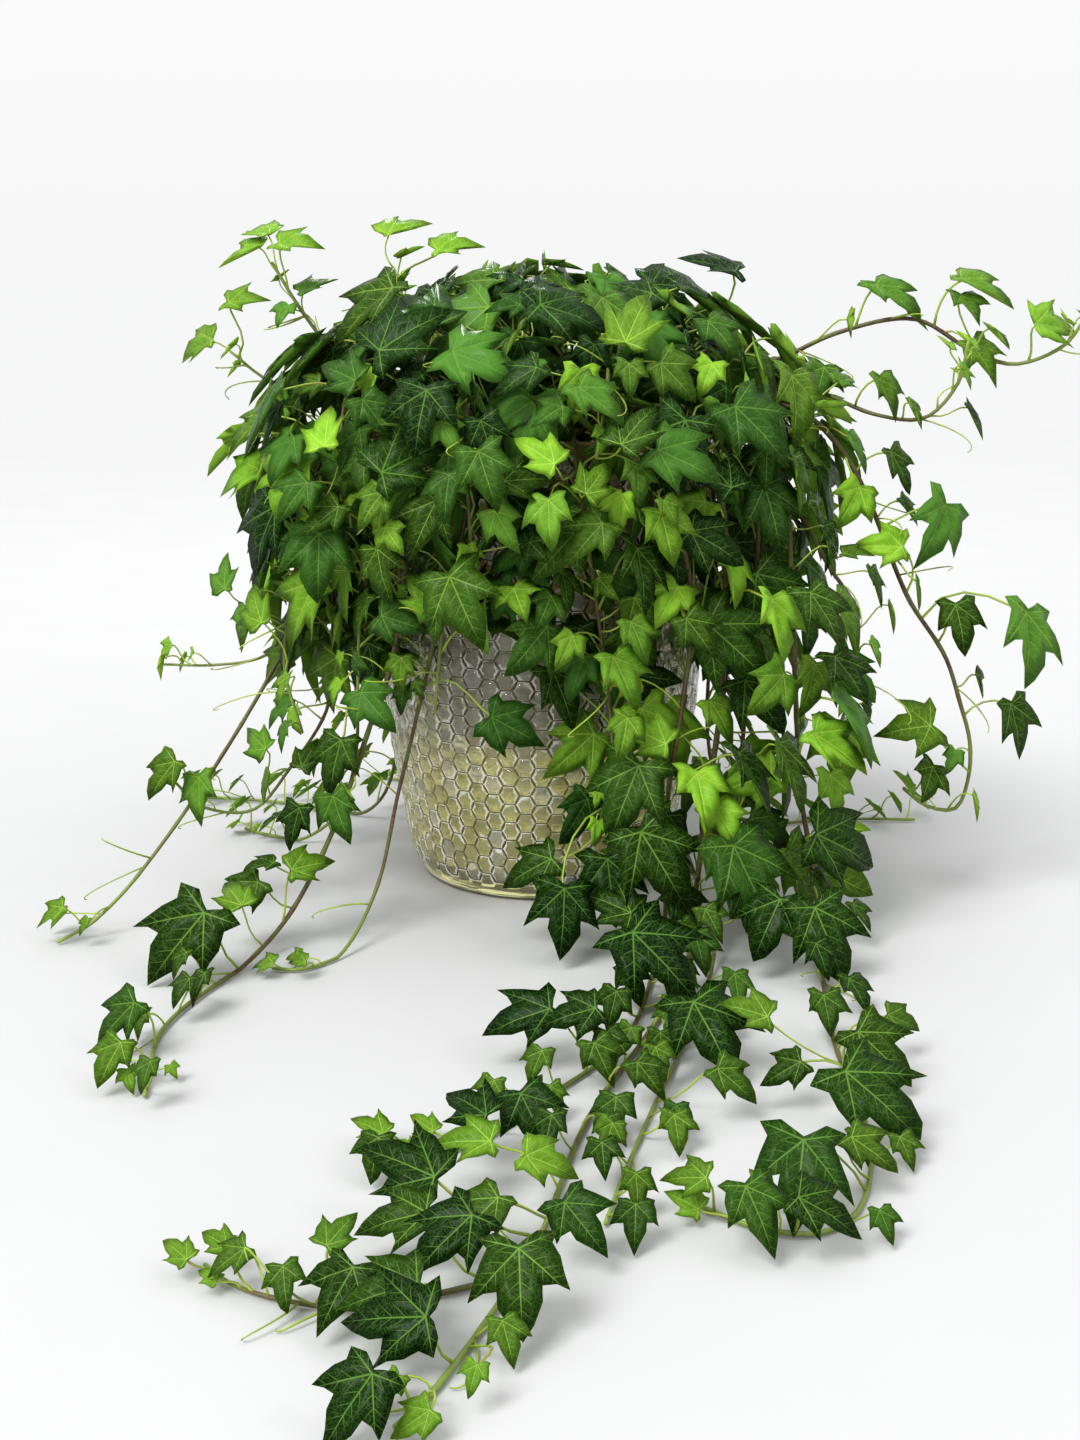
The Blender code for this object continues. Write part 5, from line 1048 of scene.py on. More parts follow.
def leaf_shape(leaf, swell=0.0):
    """Points and faces of one plain leaf: three-sided stalk and lobed blade, and how many points are stalk."""
    across, along, normal = leaf["axes"]
    joint, length = leaf["joint"], leaf["length"]
    large = length >= FIVE_LOBES_FROM
    half = FIVE_LOBES if large else THREE_LOBES
    half_faces = FIVE_LOBE_FACES if large else THREE_LOBE_FACES
    grow = length + swell

    def on_blade(u, v, drop):
        rise = blade_rise(u, v, leaf["fold"], leaf["droop"])
        return joint + grow * (u * across + v * along + rise * normal) - drop * normal

    outline = [(u, v) for u, v in half] + [(0.0, 1.0)] + [(-u, v) for u, v in reversed(half)]
    rim = len(outline)
    low = BLADE_THICKNESS + swell
    top = [on_blade(u, v, -swell) for u, v in outline]
    under = [on_blade(u, v, low) for u, v in outline]
    wide = JOINT_HALF_WIDTH + swell
    section = [swell * normal - wide * across, swell * normal + wide * across, leaf["keel"] * along - low * normal]
    middle = sum(section) / 3.0
    loops = [[joint + corner for corner in section]]
    for k, place in enumerate(reversed(leaf["stalk"][:-1])):
        share = leaf["root_share"] if k == len(leaf["stalk"]) - 2 else 1.0
        loops.insert(0, [place + share * (corner - middle) for corner in section])
    points = [p for loop in loops for p in loop] + top + under
    faces = [(1, 0, 2)]
    for a in range(0, 3 * len(loops) - 3, 3):
        faces += [(a, a + 1, a + 4, a + 3), (a + 1, a + 2, a + 5, a + 4), (a + 2, a, a + 3, a + 5)]
    left, right, base = 3 * len(loops) - 3, 3 * len(loops) - 2, 3 * len(loops) - 1
    first = 3 * len(loops)
    tip = first + len(half)

    def top_point(k, mirrored):
        if k == 0:
            return left if mirrored else right
        return first + rim - k if mirrored and k <= len(half) else first + k - 1

    def under_point(k, mirrored):
        return base if k == 0 else top_point(k, mirrored) + rim

    for a, b, c in half_faces:
        faces.append((top_point(a, False), top_point(b, False), top_point(c, False)))
        faces.append((top_point(c, True), top_point(b, True), top_point(a, True)))
        faces.append((under_point(c, False), under_point(b, False), under_point(a, False)))
        faces.append((under_point(a, True), under_point(b, True), under_point(c, True)))
    faces.append((left, right, tip))
    edge = [right] + list(range(first, first + rim)) + [left]
    edge_under = [base] + list(range(first + rim, first + 2 * rim)) + [base]
    for i in range(len(edge) - 1):
        faces.append((edge[i], edge_under[i], edge_under[i + 1], edge[i + 1]))
    return np.array(points), faces, first


def canopy_lean(point):
    """How steeply a leaf at this point looks up, in radians: flat at the top of the mound, upright below."""
    heights = (0.03, 0.07, 0.20, 0.26, 0.30, 0.34, 0.37, 0.41)
    angles = (52.0, 30.0, 24.0, 28.0, 34.0, 44.0, 56.0, 60.0)
    return math.radians(float(np.interp(point[2], heights, angles)))


def leaf_normal(point, front, draw):
    """Upwards and outwards; a leaf placed from the photograph also turns to the front."""
    outward = unit(np.array([point[0], point[1], 0.0]))
    if front:
        outward = unit(0.45 * outward + np.array([0.0, -0.75, 0.0]))
    turn = draw.uniform(-0.35, 0.35)
    c, s = math.cos(turn), math.sin(turn)
    outward = np.array([c * outward[0] - s * outward[1], s * outward[0] + c * outward[1], 0.0])
    lean = canopy_lean(point) + draw.uniform(-0.20, 0.20)
    return outward * math.cos(lean) + np.array([0.0, 0.0, math.sin(lean)])


def stalk_line(root, joint, normal, reach):
    """The stalk from the stem's middle to the blade, bowed up and out where it is long."""
    if reach < LONG_STALK:
        return [root, joint]
    middle = 0.5 * (root + joint) + 0.16 * reach * np.array([0.0, 0.0, 1.0]) - 0.10 * reach * normal
    return [root, middle, joint]


def keel_for(axes, line):
    """How far forward the stalk's lower edge meets the blade, or None if the stalk would be too flat."""
    for keel in (JOINT_KEEL, STEEP_KEEL):
        across_section = unit(keel * axes[2] + BLADE_THICKNESS * axes[1])
        if min(float(unit(b - a) @ across_section) for a, b in zip(line[:-1], line[1:])) > LEAST_STALK_SHARE:
            return keel
    return None


class Placer:
    """Sets leaves one after another, each clear of the pot, the stems and the leaves before it."""

    def __init__(self, lines):
        self.lines = lines
        self.guard = tree_of(*planter_guard())
        self.tubes = {n: tree_of(*tube(line["points"], line["radii"])) for n, line in lines.items()}
        self.leaves = []
        self.trees = []
        self.boxes = []
        self.centres = []
        self.spots = []
        for name, line in lines.items():
            points = line["points"]
            chord = np.linalg.norm(np.diff(points, axis=0), axis=1)
            reach = np.concatenate([[0.0], np.cumsum(chord)])
            start = 0.045 if line["node"] == name else 0.012
            for at in np.arange(start, reach[-1] - 0.001, 0.006):
                spot = np.array([np.interp(at, reach, points[:, i]) for i in range(3)])
                ahead = np.array([np.interp(at + 0.004, reach, points[:, i]) for i in range(3)])
                self.spots.append((name, at, spot, unit(ahead - spot), float(np.interp(at, reach, line["radii"]))))
        self.spot_places = np.array([s[2] for s in self.spots])

    def roots_for(self, joint, normal, stalk):
        """The nearest fitting places on stems, those behind the blade before the others."""
        away = joint[None, :] - self.spot_places
        far = np.linalg.norm(away, axis=1)
        behind = (away @ normal) / np.maximum(far, 1e-6)
        cost = np.abs(far - stalk) + 0.020 * (1.0 - behind) + np.where(far < 0.007, 1.0, 0.0)
        order = np.argsort(cost, kind="stable")
        chosen = []
        for k in order[:60]:
            if cost[k] > 0.075 or behind[k] < -0.35:
                continue
            if all(np.linalg.norm(self.spot_places[k] - self.spot_places[c]) > 0.010 for c in chosen):
                chosen.append(int(k))
            if len(chosen) == 5:
                break
        return chosen

    def crowded(self, point, gap):
        return any(math.dist(point, centre) < gap for centre in self.centres)

    def fits(self, leaf):
        points, faces, stalk_points = leaf_shape(leaf, LEAF_GAP)
        if points[:, 2].min() < FLOOR_REST:
            return None
        tree = tree_of(points, faces)
        blade = [f for f in faces if min(f) >= stalk_points - 3]
        if self.guard.overlap(tree):
            return None
        for name, other in self.tubes.items():
            if name == leaf["stem"]:
                if other.overlap(tree_of(points, blade)):
                    return None
            elif other.overlap(tree):
                return None
        low, high = points.min(axis=0), points.max(axis=0)
        for k, (other_low, other_high) in enumerate(self.boxes):
            if (low < other_high).all() and (other_low < high).all() and self.trees[k].overlap(tree):
                return None
        return tree, low, high

    def try_leaf(self, joint, length, tip, youth, front, seed, tries=14, stalk=None, loose_turn=0.0, slack=1.0):
        """One leaf near the wished place, with up to so many small changes of place, turn and lean.

        A loose turn tilts the blade any way by up to about that many radians, and turns its tip by as much.
        """
        draw = random.Random(seed)
        joint = np.asarray(joint, float)
        for attempt in range(tries):
            loose = 0.0015 + 0.0009 * attempt
            moved = joint + np.array([draw.uniform(-loose, loose) for _ in range(3)])
            normal = leaf_normal(moved, front, draw)
            turn = draw.uniform(-0.16, 0.16) * (1.0 + 0.25 * attempt)
            roots = self.roots_for(moved, normal, stalk or 0.5 * length + 0.006)
            if not roots:
                continue
            name, at, root, heading, stem_radius = self.spots[roots[min(len(roots) - 1, attempt // 3)]]
            wished = tip(moved, root)
            if loose_turn:
                normal = unit(normal + loose_turn * np.array([draw.uniform(-1.0, 1.0) for _ in range(3)]))
                turn += draw.uniform(-loose_turn, loose_turn)
            axes = blade_frame(normal, wished)
            across, along = axes[0], axes[1]
            along = math.cos(turn) * along + math.sin(turn) * across
            axes = blade_frame(axes[2], along)
            reach = float(np.linalg.norm(moved - root))
            line = stalk_line(root, moved, axes[2], reach)
            keel = JOINT_KEEL if loose_turn else keel_for(axes, line)
            if keel is None:
                continue
            leaf = {
                "stem": name, "node": self.lines[name]["node"], "at": at, "joint": moved, "axes": axes,
                "length": length, "stalk": line, "keel": keel,
                "root_share": min(1.0, ROOT_SHARE * stem_radius / STALK_RADIUS), "fold": 0.10 + 0.22 * youth + draw.uniform(0.0, 0.10),
                "droop": 0.12 + draw.uniform(0.0, 0.16), "youth": youth,
            }
            found = self.fits({**leaf, "length": slack * length})
            if found:
                self.leaves.append(leaf)
                self.trees.append(found[0])
                self.boxes.append(found[1:])
                self.centres.append(moved + 0.4 * length * axes[1])
                return leaf
        return None


def seen_tip(roll):
    """A tip that points down, turned to the right by the roll as seen from the front."""
    angle = math.radians(roll)
    wished = np.array([math.sin(angle), -0.25 * math.cos(angle), -math.cos(angle)])
    return lambda joint, root: wished


def hanging_tip(roll):
    """A tip that hangs outwards and away from its stem, turned by the roll round the upright."""
    c, s = math.cos(roll), math.sin(roll)

    def wished(joint, root):
        outward = unit(np.array([joint[0], joint[1], 0.0]))
        away = unit(np.array([joint[0] - root[0], joint[1] - root[1], 0.0]))
        level = unit(outward + 0.8 * away)
        turned = np.array([c * level[0] - s * level[1], s * level[0] + c * level[1], 0.0])
        return 0.75 * turned + np.array([0.0, 0.0, -0.9])

    return wished


def dome_points(count, share=1.0, open_glass=GLASS_WINDOW):
    """Points spread evenly over the dome and the curtain, by equal area and the golden angle, but for the stretch
    of glass that is left open: from one azimuth to another, below a height."""
    profile = [(0.0, CANOPY[0][0] + 0.004)] + [(r, z) for z, r in CANOPY]
    area = [0.0]
    for (r0, z0), (r1, z1) in zip(profile[:-1], profile[1:]):
        area.append(area[-1] + math.pi * (r0 + r1) * math.hypot(r1 - r0, z1 - z0))
    radii, heights = [r for r, _ in profile], [z for _, z in profile]
    found = []
    for k in range(count):
        at = area[-1] * (k + 0.5) / count
        azimuth = (k * GOLDEN_ANGLE) % (2.0 * math.pi) - math.pi
        radius, height = float(np.interp(at, area, radii)), float(np.interp(at, area, heights))
        window = open_glass[0] < azimuth < open_glass[1] and height < open_glass[2]
        if height > CURTAIN_FOOT and not window:
            radius = radius * share
            found.append((k, (CANOPY_WIDTH * radius * math.cos(azimuth), radius * math.sin(azimuth), height)))
    return found


def fill_trails(placer, spacing=0.074, seed=9000, later=20000, share=1.0, loose_turn=0.0):
    """Leaves by turns on one side and the other of every stretch of stem that has none yet."""
    for number, (name, line) in enumerate(placer.lines.items()):
        if name in BARE_STEMS:
            continue
        spots = [s for s in placer.spots if s[0] == name]
        taken = [leaf["at"] for leaf in placer.leaves if leaf["stem"] == name]
        end = spots[-1][1] if spots else 0.0
        side = 1.0
        for k, (_, at, spot, heading, _) in enumerate(spots):
            hidden = spot[2] > 0.20 and math.hypot(spot[0], spot[1]) < (0.115 if loose_turn else 0.155)
            hidden = hidden or (loose_turn and spot[2] < 0.03)
            if hidden or any(abs(at - other) < 0.5 * spacing for other in taken):
                continue
            draw = random.Random(seed + 100 * number + k)
            toward_tip = at / end
            length = share * (0.036 - 0.016 * toward_tip) * draw.uniform(0.85, 1.1)
            level = unit(np.cross(heading, leaf_normal(spot, False, draw)))
            lift = unit(leaf_normal(spot, False, draw) + 0.9 * side * level + 0.4 * heading)
            stalk = 0.014 + 0.35 * length
            joint = spot + stalk * lift + np.array([0.0, 0.0, 0.006 if spot[2] < 0.03 else 0.0])
            youth = min(1.0, 0.15 + 0.6 * toward_tip * draw.random())
            tip = hanging_tip(0.4 * side + draw.uniform(-0.3, 0.3))
            if placer.try_leaf(joint, length, tip, youth, False, later + 100 * number + k, 6, stalk, loose_turn):
                taken.append(at)
                side = -side


def place_plain_leaves(placer):
    """The leaves that the solids have: those seen in the photograph, the rest of the canopy, then the trails."""
    for k, (x, y, z, length, roll, youth) in enumerate(SEEN_LEAVES):
        leaf = placer.try_leaf((x, y, z), length, seen_tip(roll), youth, True, 100 + k, tries=24)
        if leaf:
            leaf["seen"] = True
    for k, point in dome_points(CANOPY_LEAVES):
        if placer.crowded(point, CROWN_GAP if point[2] > CROWN_HEIGHT else CURTAIN_GAP):
            continue
        draw = random.Random(5000 + k)
        length = draw.uniform(0.038, 0.050)
        youth = draw.choice((0.1, 0.15, 0.2, 0.3, 0.6, 0.8))
        placer.try_leaf(point, length, hanging_tip(draw.uniform(-0.5, 0.5)), youth, False, 6000 + k)
    fill_trails(placer)


def box_points(count, box):
    """Points spread evenly in a box: along each side by the fractions of a golden-like number."""
    steps = (0.7549, 0.3819, 0.5698)
    for k in range(count):
        yield k, tuple(low + (high - low) * (k * step % 1.0) for (low, high), step in zip(box, steps))


def fill_points(placer, points, gap, lengths, seed, loose_turn):
    """A small leaf at each point that has no other near it, old and dark on the crown and of all ages below."""
    for k, point in points:
        if placer.crowded(point, gap):
            continue
        draw = random.Random(seed + k)
        ages = CROWN_AGES if point[2] > CROWN_HEIGHT else FRONT_AGES if abs(point[0]) < SIDE_CURTAIN else SIDE_AGES
        youth = draw.choice(ages)
        youth = youth if seed < INNER_SEED else 0.3 * youth
        length = draw.uniform(*lengths)
        stalk = draw.uniform(0.6, 1.3) * length + 0.006
        tip = hanging_tip(draw.uniform(-0.8, 0.8))
        slack = 1.0 if seed < INNER_SEED else INNER_SLACK
        placer.try_leaf(point, length, tip, youth, False, seed + 1000 + k, 10, stalk, loose_turn, slack)


def place_small_leaves(placer):
    """The smaller leaves that only the looks have: the seen ones, gaps in the dome, the trails, the stem tips."""
    for k, (x, y, z, length, roll, youth) in enumerate(SMALL_LEAVES):
        placer.try_leaf((x, y, z), length, seen_tip(roll), youth, True, 2000 + k, tries=20)
    x, y, z, length, roll, youth = FADED_LEAF
    faded = placer.try_leaf((x, y, z), length, seen_tip(roll), youth, True, 2999, tries=30)
    if faded:
        faded["faded"] = 1.0
    for count, share, gap, lengths, seed, loose_turn in DOME_FILLS:
        fill_points(placer, dome_points(count, share, OPEN_GLASS), gap, lengths, seed, loose_turn)
    for box, (count, gap, lengths, seed, loose_turn) in ((SKIRT, SKIRT_FILL), (SOIL_COVER, COVER_FILL)):
        fill_points(placer, box_points(count, box), gap, lengths, seed, loose_turn)
    for spacing, seed, later, share, loose_turn in STEM_FILLS:
        fill_trails(placer, spacing, seed, later, share, loose_turn)
    for number, (name, line) in enumerate(placer.lines.items()):
        end, heading = line["points"][-1], unit(line["points"][-1] - line["points"][-2])
        for k in range(TIP_BUDS):
            draw = random.Random(70000 + 10 * number + k)
            length = 0.016 - 0.003 * k + draw.uniform(-0.002, 0.002)
            aside = unit(np.cross(heading, (0.1, 0.2, 1.0))) * (0.010 if k % 2 else -0.010)
            joint = end - (0.004 + 0.009 * k) * heading + aside + np.array([0.0, 0.0, 0.006])
            placer.try_leaf(joint, length, lambda j, r, h=heading: h, 0.9, False, 71000 + 10 * number + k, 12, 0.012)


# Fine stems and leaves


class Batch:
    """Points, faces and per-point values of many like shapes, gathered into one mesh."""

    def __init__(self):
        self.points, self.faces, self.slots = [], [], []
        self.values = {"young": [], "tone": [], "faded": []}
        self.plane, self.under = [], []
        self.count = 0

    def add(self, points, faces, slot, plane=None, under=None, **values):
        self.points.append(points)
        self.faces += [[self.count + i for i in face] for face in faces]
        self.slots += [slot] * len(faces)
        self.under += under or [0.0] * len(faces)
        self.plane.append(np.zeros((len(points), 2)) if plane is None else plane)
        for name, kept in self.values.items():
            kept.append(np.broadcast_to(np.asarray(values.get(name, 0.0), float), (len(points),)))
        self.count += len(points)

    def piece(self, name, materials):
        obj = shown_piece(name, np.concatenate(self.points), self.faces)
        mesh = obj.data
        mesh.polygons.foreach_set("material_index", self.slots)
        for made in materials:
            mesh.materials.append(made)
        for value, kept in self.values.items():
            own_values(mesh, value, np.concatenate(kept))
        own_values(mesh, "under", self.under, "FACE")
        layer = mesh.uv_layers.new(name="blade_plane")
        corner = np.empty(len(mesh.loops), np.int32)
        mesh.loops.foreach_get("vertex_index", corner)
        layer.data.foreach_set("uv", np.concatenate(self.plane)[corner].astype(np.float32).ravel())
        return obj


def swept(points, radii, sides):
    """A closed tube: a ring of the given radius round every point, carried along without twisting, tips closed.

    The ring's two axes come from the last one's, with their share along the new heading taken away.
    """
    heading = np.gradient(points, axis=0)
    heading = heading / np.linalg.norm(heading, axis=1)[:, None]
    start = np.cross(heading[0], (0.3, 0.8, 0.5))
    axes = [unit(start)]
    for k in range(1, len(points)):
        axes.append(unit(axes[-1] - heading[k] * float(axes[-1] @ heading[k])))
    side = np.array(axes)
    up = np.cross(heading, side)
    angle = np.arange(sides) * (2.0 * math.pi / sides)
    spread = np.cos(angle)[None, :, None] * side[:, None, :] + np.sin(angle)[None, :, None] * up[:, None, :]
    rings = points[:, None, :] + np.asarray(radii)[:, None, None] * spread
    tips = np.stack([points[0] - 0.3 * radii[0] * heading[0], points[-1] + 0.8 * radii[-1] * heading[-1]])
    faces = grid_faces(len(points), sides, True) + end_fans(len(points) * sides + 2, len(points), sides)
    return np.concatenate([rings.reshape(-1, 3), tips]), faces


def blade_outline(leaf, draw):
    """The blade's whole outline in its own plane: the old and the young outline mixed, its lobes a little varied."""
    size = leaf["length"]
    mature = float(np.clip((size - 0.022) / 0.022, 0.0, 1.0)) * (1.0 - 0.45 * leaf["youth"])
    half = mature * np.array(OLD_OUTLINE) + (1.0 - mature) * np.array(YOUNG_OUTLINE)
    sides = []
    for sign in (1.0, -1.0):
        lobes = np.array([draw.uniform(-0.07, 0.07) for _ in range(4)])
        stretch = 1.0 + np.interp(np.arange(len(half)), (1, 3, 6, 9), lobes)
        jitter = np.array([[draw.uniform(-0.017, 0.017), draw.uniform(-0.017, 0.017)] for _ in half])
        side = half * stretch[:, None] + jitter
        sides.append(side * np.array([sign, 1.0]))
    notch = np.array([[0.0, -0.045]])
    point = np.array([[0.0, 1.0]])
    return np.concatenate([notch, sides[0], point, sides[1][::-1]])


def fine_leaf(leaf, number):
    """Points, faces and plane coordinates of one closed blade, on a grid of outline direction and ring.

    A point is the outline times the ring's share, raised by the plain leaf's fold and droop. To that come low
    swellings between the veins, which run to the lobes, a slow wave round the edge, and tips that curl down. The
    underside is a fan to the same edge from a middle point set lower, so that it stays below the top.
    """
    draw = random.Random(80000 + number)
    across, along, normal = leaf["axes"]
    length = leaf["length"]
    outline = blade_outline(leaf, draw)
    count = len(outline)
    phase, waves = draw.uniform(0.0, 6.28), draw.choice((3, 4, 5))
    curl = draw.uniform(0.04, 0.30)
    round_share = np.arange(count) / count
    shares = np.array(BLADE_RINGS)[:, None]
    u = outline[None, :, 0] * shares
    v = outline[None, :, 1] * shares
    far = np.hypot(outline[:, 0], outline[:, 1])[None, :]
    rise = leaf["fold"] * np.abs(u) - leaf["droop"] * (u * u + 0.8 * np.maximum(0.0, v) ** 2)
    vein = np.maximum.reduce([
        np.exp(-((np.arctan2(np.abs(outline[:, 0]), outline[:, 1]) - angle) / 0.18) ** 2) for angle in VEIN_ANGLES
    ])
    rise = rise + 0.048 * (1.0 - vein)[None, :] * np.sin(math.pi * np.minimum(1.0, shares * 0.9))
    rise = rise + 0.026 * shares**2 * np.sin(2.0 * math.pi * waves * round_share + phase)[None, :]
    rise = rise - curl * shares**3 * np.maximum(0.0, far - 0.55) ** 2
    flat = u[..., None] * across + v[..., None] * along + rise[..., None] * normal
    top = leaf["joint"] + length * flat
    points = np.concatenate([leaf["joint"][None, :], top.reshape(-1, 3), leaf["joint"][None, :] - UNDER_DROP * normal])
    edge, under_middle = 1 + count, 1 + 2 * count
    faces, under = [], []
    for i in range(count):
        j = (i + 1) % count
        faces += [[0, 1 + i, 1 + j], [1 + i, edge + i, edge + j], [1 + i, edge + j, 1 + j]]
        faces.append([under_middle, edge + j, edge + i])
        under += [0.0, 0.0, 0.0, 1.0]
    plane = np.stack([0.5 + 0.5 * u, 0.3 + 0.65 * v], axis=-1)
    centre_plane = np.array([[0.5, 0.3]])
    plane = np.concatenate([centre_plane, plane.reshape(-1, 2), centre_plane])
    return points, faces, plane, under


def fine_stalk(leaf, line, number):
    """The leaf's stalk: a cubic from the stem, leaving it towards the blade, upwards and a little to one side.

    Its last third comes from behind and under the blade to the notch. It is a little thicker at both ends.
    """
    across, along, normal = leaf["axes"]
    stem = line["dense"]
    nearest = int(np.argmin(np.linalg.norm(stem - leaf["stalk"][0], axis=1)))
    start, end = stem[nearest], leaf["joint"] - 0.0005 * normal + 0.0012 * along
    reach = float(np.linalg.norm(end - start))
    lift = unit(unit(end - start) + 0.35 * np.array([0.0, 0.0, 1.0]))
    aside = random.Random(85000 + number).uniform(-0.42, 0.42)
    one = start + 0.42 * reach * lift + aside * reach * unit(np.cross(lift, normal))
    two = end - 0.32 * reach * unit(0.75 * along + 0.65 * normal)
    two[2] = max(two[2], 0.0022)
    t = np.linspace(0.0, 1.0, STALK_STEPS + 1)[:, None]
    points = (1 - t) ** 3 * start + 3 * (1 - t) ** 2 * t * one + 3 * (1 - t) * t**2 * two + t**3 * end
    thin = 0.00042 + 0.007 * leaf["length"]
    radii = thin * (1.0 + 0.35 * np.abs(2.0 * t[:, 0] - 1.0) ** 3)
    radii[-1] *= 0.7
    points[:, 2] = np.maximum(points[:, 2], radii * 1.05)
    return swept(points, radii, STALK_SIDES)


def stem_surface(line, number):
    """The stem's tube on its smooth line, swollen a little at the nodes where leaves and rootlets sit."""
    dense, taper = line["dense"], line["taper"]
    chord = np.linalg.norm(np.diff(dense, axis=0), axis=1)
    reach = np.concatenate([[0.0], np.cumsum(chord)])
    swell = 1.0 + 0.14 * np.maximum(0.0, np.cos(2.0 * math.pi * reach / 0.036 + number)) ** 4
    radii = taper * swell
    young = np.clip((reach / reach[-1] - 0.72) / 0.28, 0.0, 1.0)
    return swept(dense, radii, STEM_SIDES), young


def tendril(line, number):
    """A thin bare shoot from the stem: it runs outwards for 25 to 45 mm and curls, by a sine across its way."""
    draw = random.Random(number)
    dense = line["dense"]
    start = dense[draw.randrange(len(dense) // 3, len(dense) - 2)]
    out = unit(np.array([start[0], start[1], 0.0]))
    out = unit(out + np.array([draw.uniform(-0.9, 0.9), draw.uniform(-0.9, 0.9), draw.uniform(-0.7, 0.8)]))
    side = unit(np.cross(out, (draw.uniform(-1.0, 1.0), draw.uniform(-1.0, 1.0), 1.3)))
    reach, bend, phase = draw.uniform(0.025, 0.045), draw.uniform(0.15, 0.35), draw.uniform(2.0, 4.2)
    t = np.linspace(0.0, 1.0, 9)[:, None]
    points = start + reach * (np.sin(1.9 * t) / 1.9 * out * 1.6 + bend * (1.0 - np.cos(phase * t)) * side)
    points[:, 2] = np.maximum(points[:, 2] - 0.10 * reach * t[:, 0] ** 2, 0.0016)
    return swept(points, 0.00055 * np.linspace(1.15, 0.55, len(points)), 4)


def vine_piece(node, number, stems, leaves, materials):
    """One node of the solids as a fine piece: its stem and any sprig, and all its leaves and stalks."""
    batch = Batch()
    for k, (name, line) in enumerate(stems.items()):
        if line["node"] == node:
            (points, faces), young = stem_surface(line, k)
            values = np.concatenate([np.repeat(young, STEM_SIDES), [young[0], young[-1]]])
            batch.add(points, faces, 0, young=values)
            for curl in range(TENDRILS):
                points, faces = tendril(line, 88000 + 10 * k + curl)
                batch.add(points, faces, 2, young=0.2 * curl)
    for index, leaf in enumerate(leaves):
        if leaf["node"] != node:
            continue
        draw = random.Random(90000 + index)
        tone = draw.uniform(0.0, 1.0) ** 3
        young = min(1.0, max(0.0, leaf["youth"] + draw.uniform(-0.08, 0.08)))
        x, y, z = leaf["joint"]
        if "seen" not in leaf:
            young *= CROWN_YOUTH if z > CROWN_HEIGHT and math.hypot(x, y) < CROWN_REACH else CURTAIN_YOUTH
        if z < LYING_HEIGHT:
            tone, young = LYING_TONE * tone, LYING_YOUTH * young
        faded = leaf.get("faded", 0.0)
        points, faces, plane, under = fine_leaf(leaf, index)
        batch.add(points, faces, 1, plane, under, young=young, tone=tone, faded=faded)
        points, faces = fine_stalk(leaf, stems[leaf["stem"]], index)
        batch.add(points, faces, 2, young=young)
    return batch.piece(node + "_fine", materials)


def settle(piece, slot, *nodes):
    """The piece rides on the part's one body and stands for the nodes; the slot is not used."""
    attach(piece, BODY)
    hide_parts(*nodes)


# Settings


class PlanterSettings(bpy.types.PropertyGroup):
    cell_columns: bpy.props.IntProperty(
        name="Cell columns", description="Columns of honeycomb cells round the planter, an even number", default=60,
        min=20, max=64,
    )
    cell_rows: bpy.props.IntProperty(
        name="Cell rows", description="Rows of honeycomb cells from foot to lip", default=22, min=8, max=24,
    )
    cell_relief: bpy.props.FloatProperty(
        name="Cell relief", description="How far a facet stands proud of its grooves", default=0.0013, unit="LENGTH",
    )
    glass_silver: bpy.props.FloatVectorProperty(
        name="Silvery glass", description="Colour of the facets in the middle", default=(0.90, 0.88, 0.74),
        subtype="COLOR", min=0.0, max=1.0,
    )
    glass_warm: bpy.props.FloatVectorProperty(
        name="Champagne glass", description="Colour of the facets near the foot", default=(1.00, 0.96, 0.52),
        subtype="COLOR", min=0.0, max=1.0,
    )
    # The gold near the top is a painted reflection.
    glass_gold_reflection: bpy.props.FloatVectorProperty(
        name="Golden glass", description="Colour of the facets near the top", default=(0.96, 0.76, 0.32),
        subtype="COLOR", min=0.0, max=1.0,
    )
    glass_clearness: bpy.props.FloatProperty(
        name="Clearness", description="Share of light that passes through the glass", default=0.81, subtype="FACTOR",
    )
    # The facet's pale rim is a painted glint.
    glint_rim_clearness: bpy.props.FloatProperty(
        name="Rim clearness", description="Share of light that passes through a facet's pale rim", default=0.35,
        subtype="FACTOR",
    )
    glass_roughness: bpy.props.FloatProperty(
        name="Glass roughness", description="Roughness of the moulded glass", default=0.025, subtype="FACTOR",
    )


class IvySettings(bpy.types.PropertyGroup):
    old_dark: bpy.props.FloatVectorProperty(
        name="Old leaf, dark", description="Darker green of an old blade", default=(0.0008, 0.0072, 0.0008),
        subtype="COLOR", min=0.0, max=1.0,
    )
    old_light: bpy.props.FloatVectorProperty(
        name="Old leaf, light", description="Lighter green of an old blade", default=(0.0036, 0.0270, 0.0022),
        subtype="COLOR", min=0.0, max=1.0,
    )
    # Blue-green painted sheen of the sky on old blades on the crown.
    old_crown_sheen: bpy.props.FloatVectorProperty(
        name="Old leaf, cool", description="Blue-green of old blades on the crown", default=(0.0075, 0.0200, 0.0105),
        subtype="COLOR", min=0.0, max=1.0,
    )
    old_bright: bpy.props.FloatVectorProperty(
        name="Old leaf, bright", description="Green of the freshest old blades", default=(0.0780, 0.2130, 0.0300),
        subtype="COLOR", min=0.0, max=1.0,
    )
    young_dark: bpy.props.FloatVectorProperty(
        name="Young leaf, dark", description="Deeper lime of a young blade", default=(0.108, 0.298, 0.014),
        subtype="COLOR", min=0.0, max=1.0,
    )
    young_light: bpy.props.FloatVectorProperty(
        name="Young leaf, light", description="Lighter lime of a young blade", default=(0.350, 0.590, 0.050),
        subtype="COLOR", min=0.0, max=1.0,
    )
    leaf_glow: bpy.props.FloatProperty(
        name="Leaf glow", description="Share of light that passes into a blade", default=0.12, subtype="FACTOR",
    )


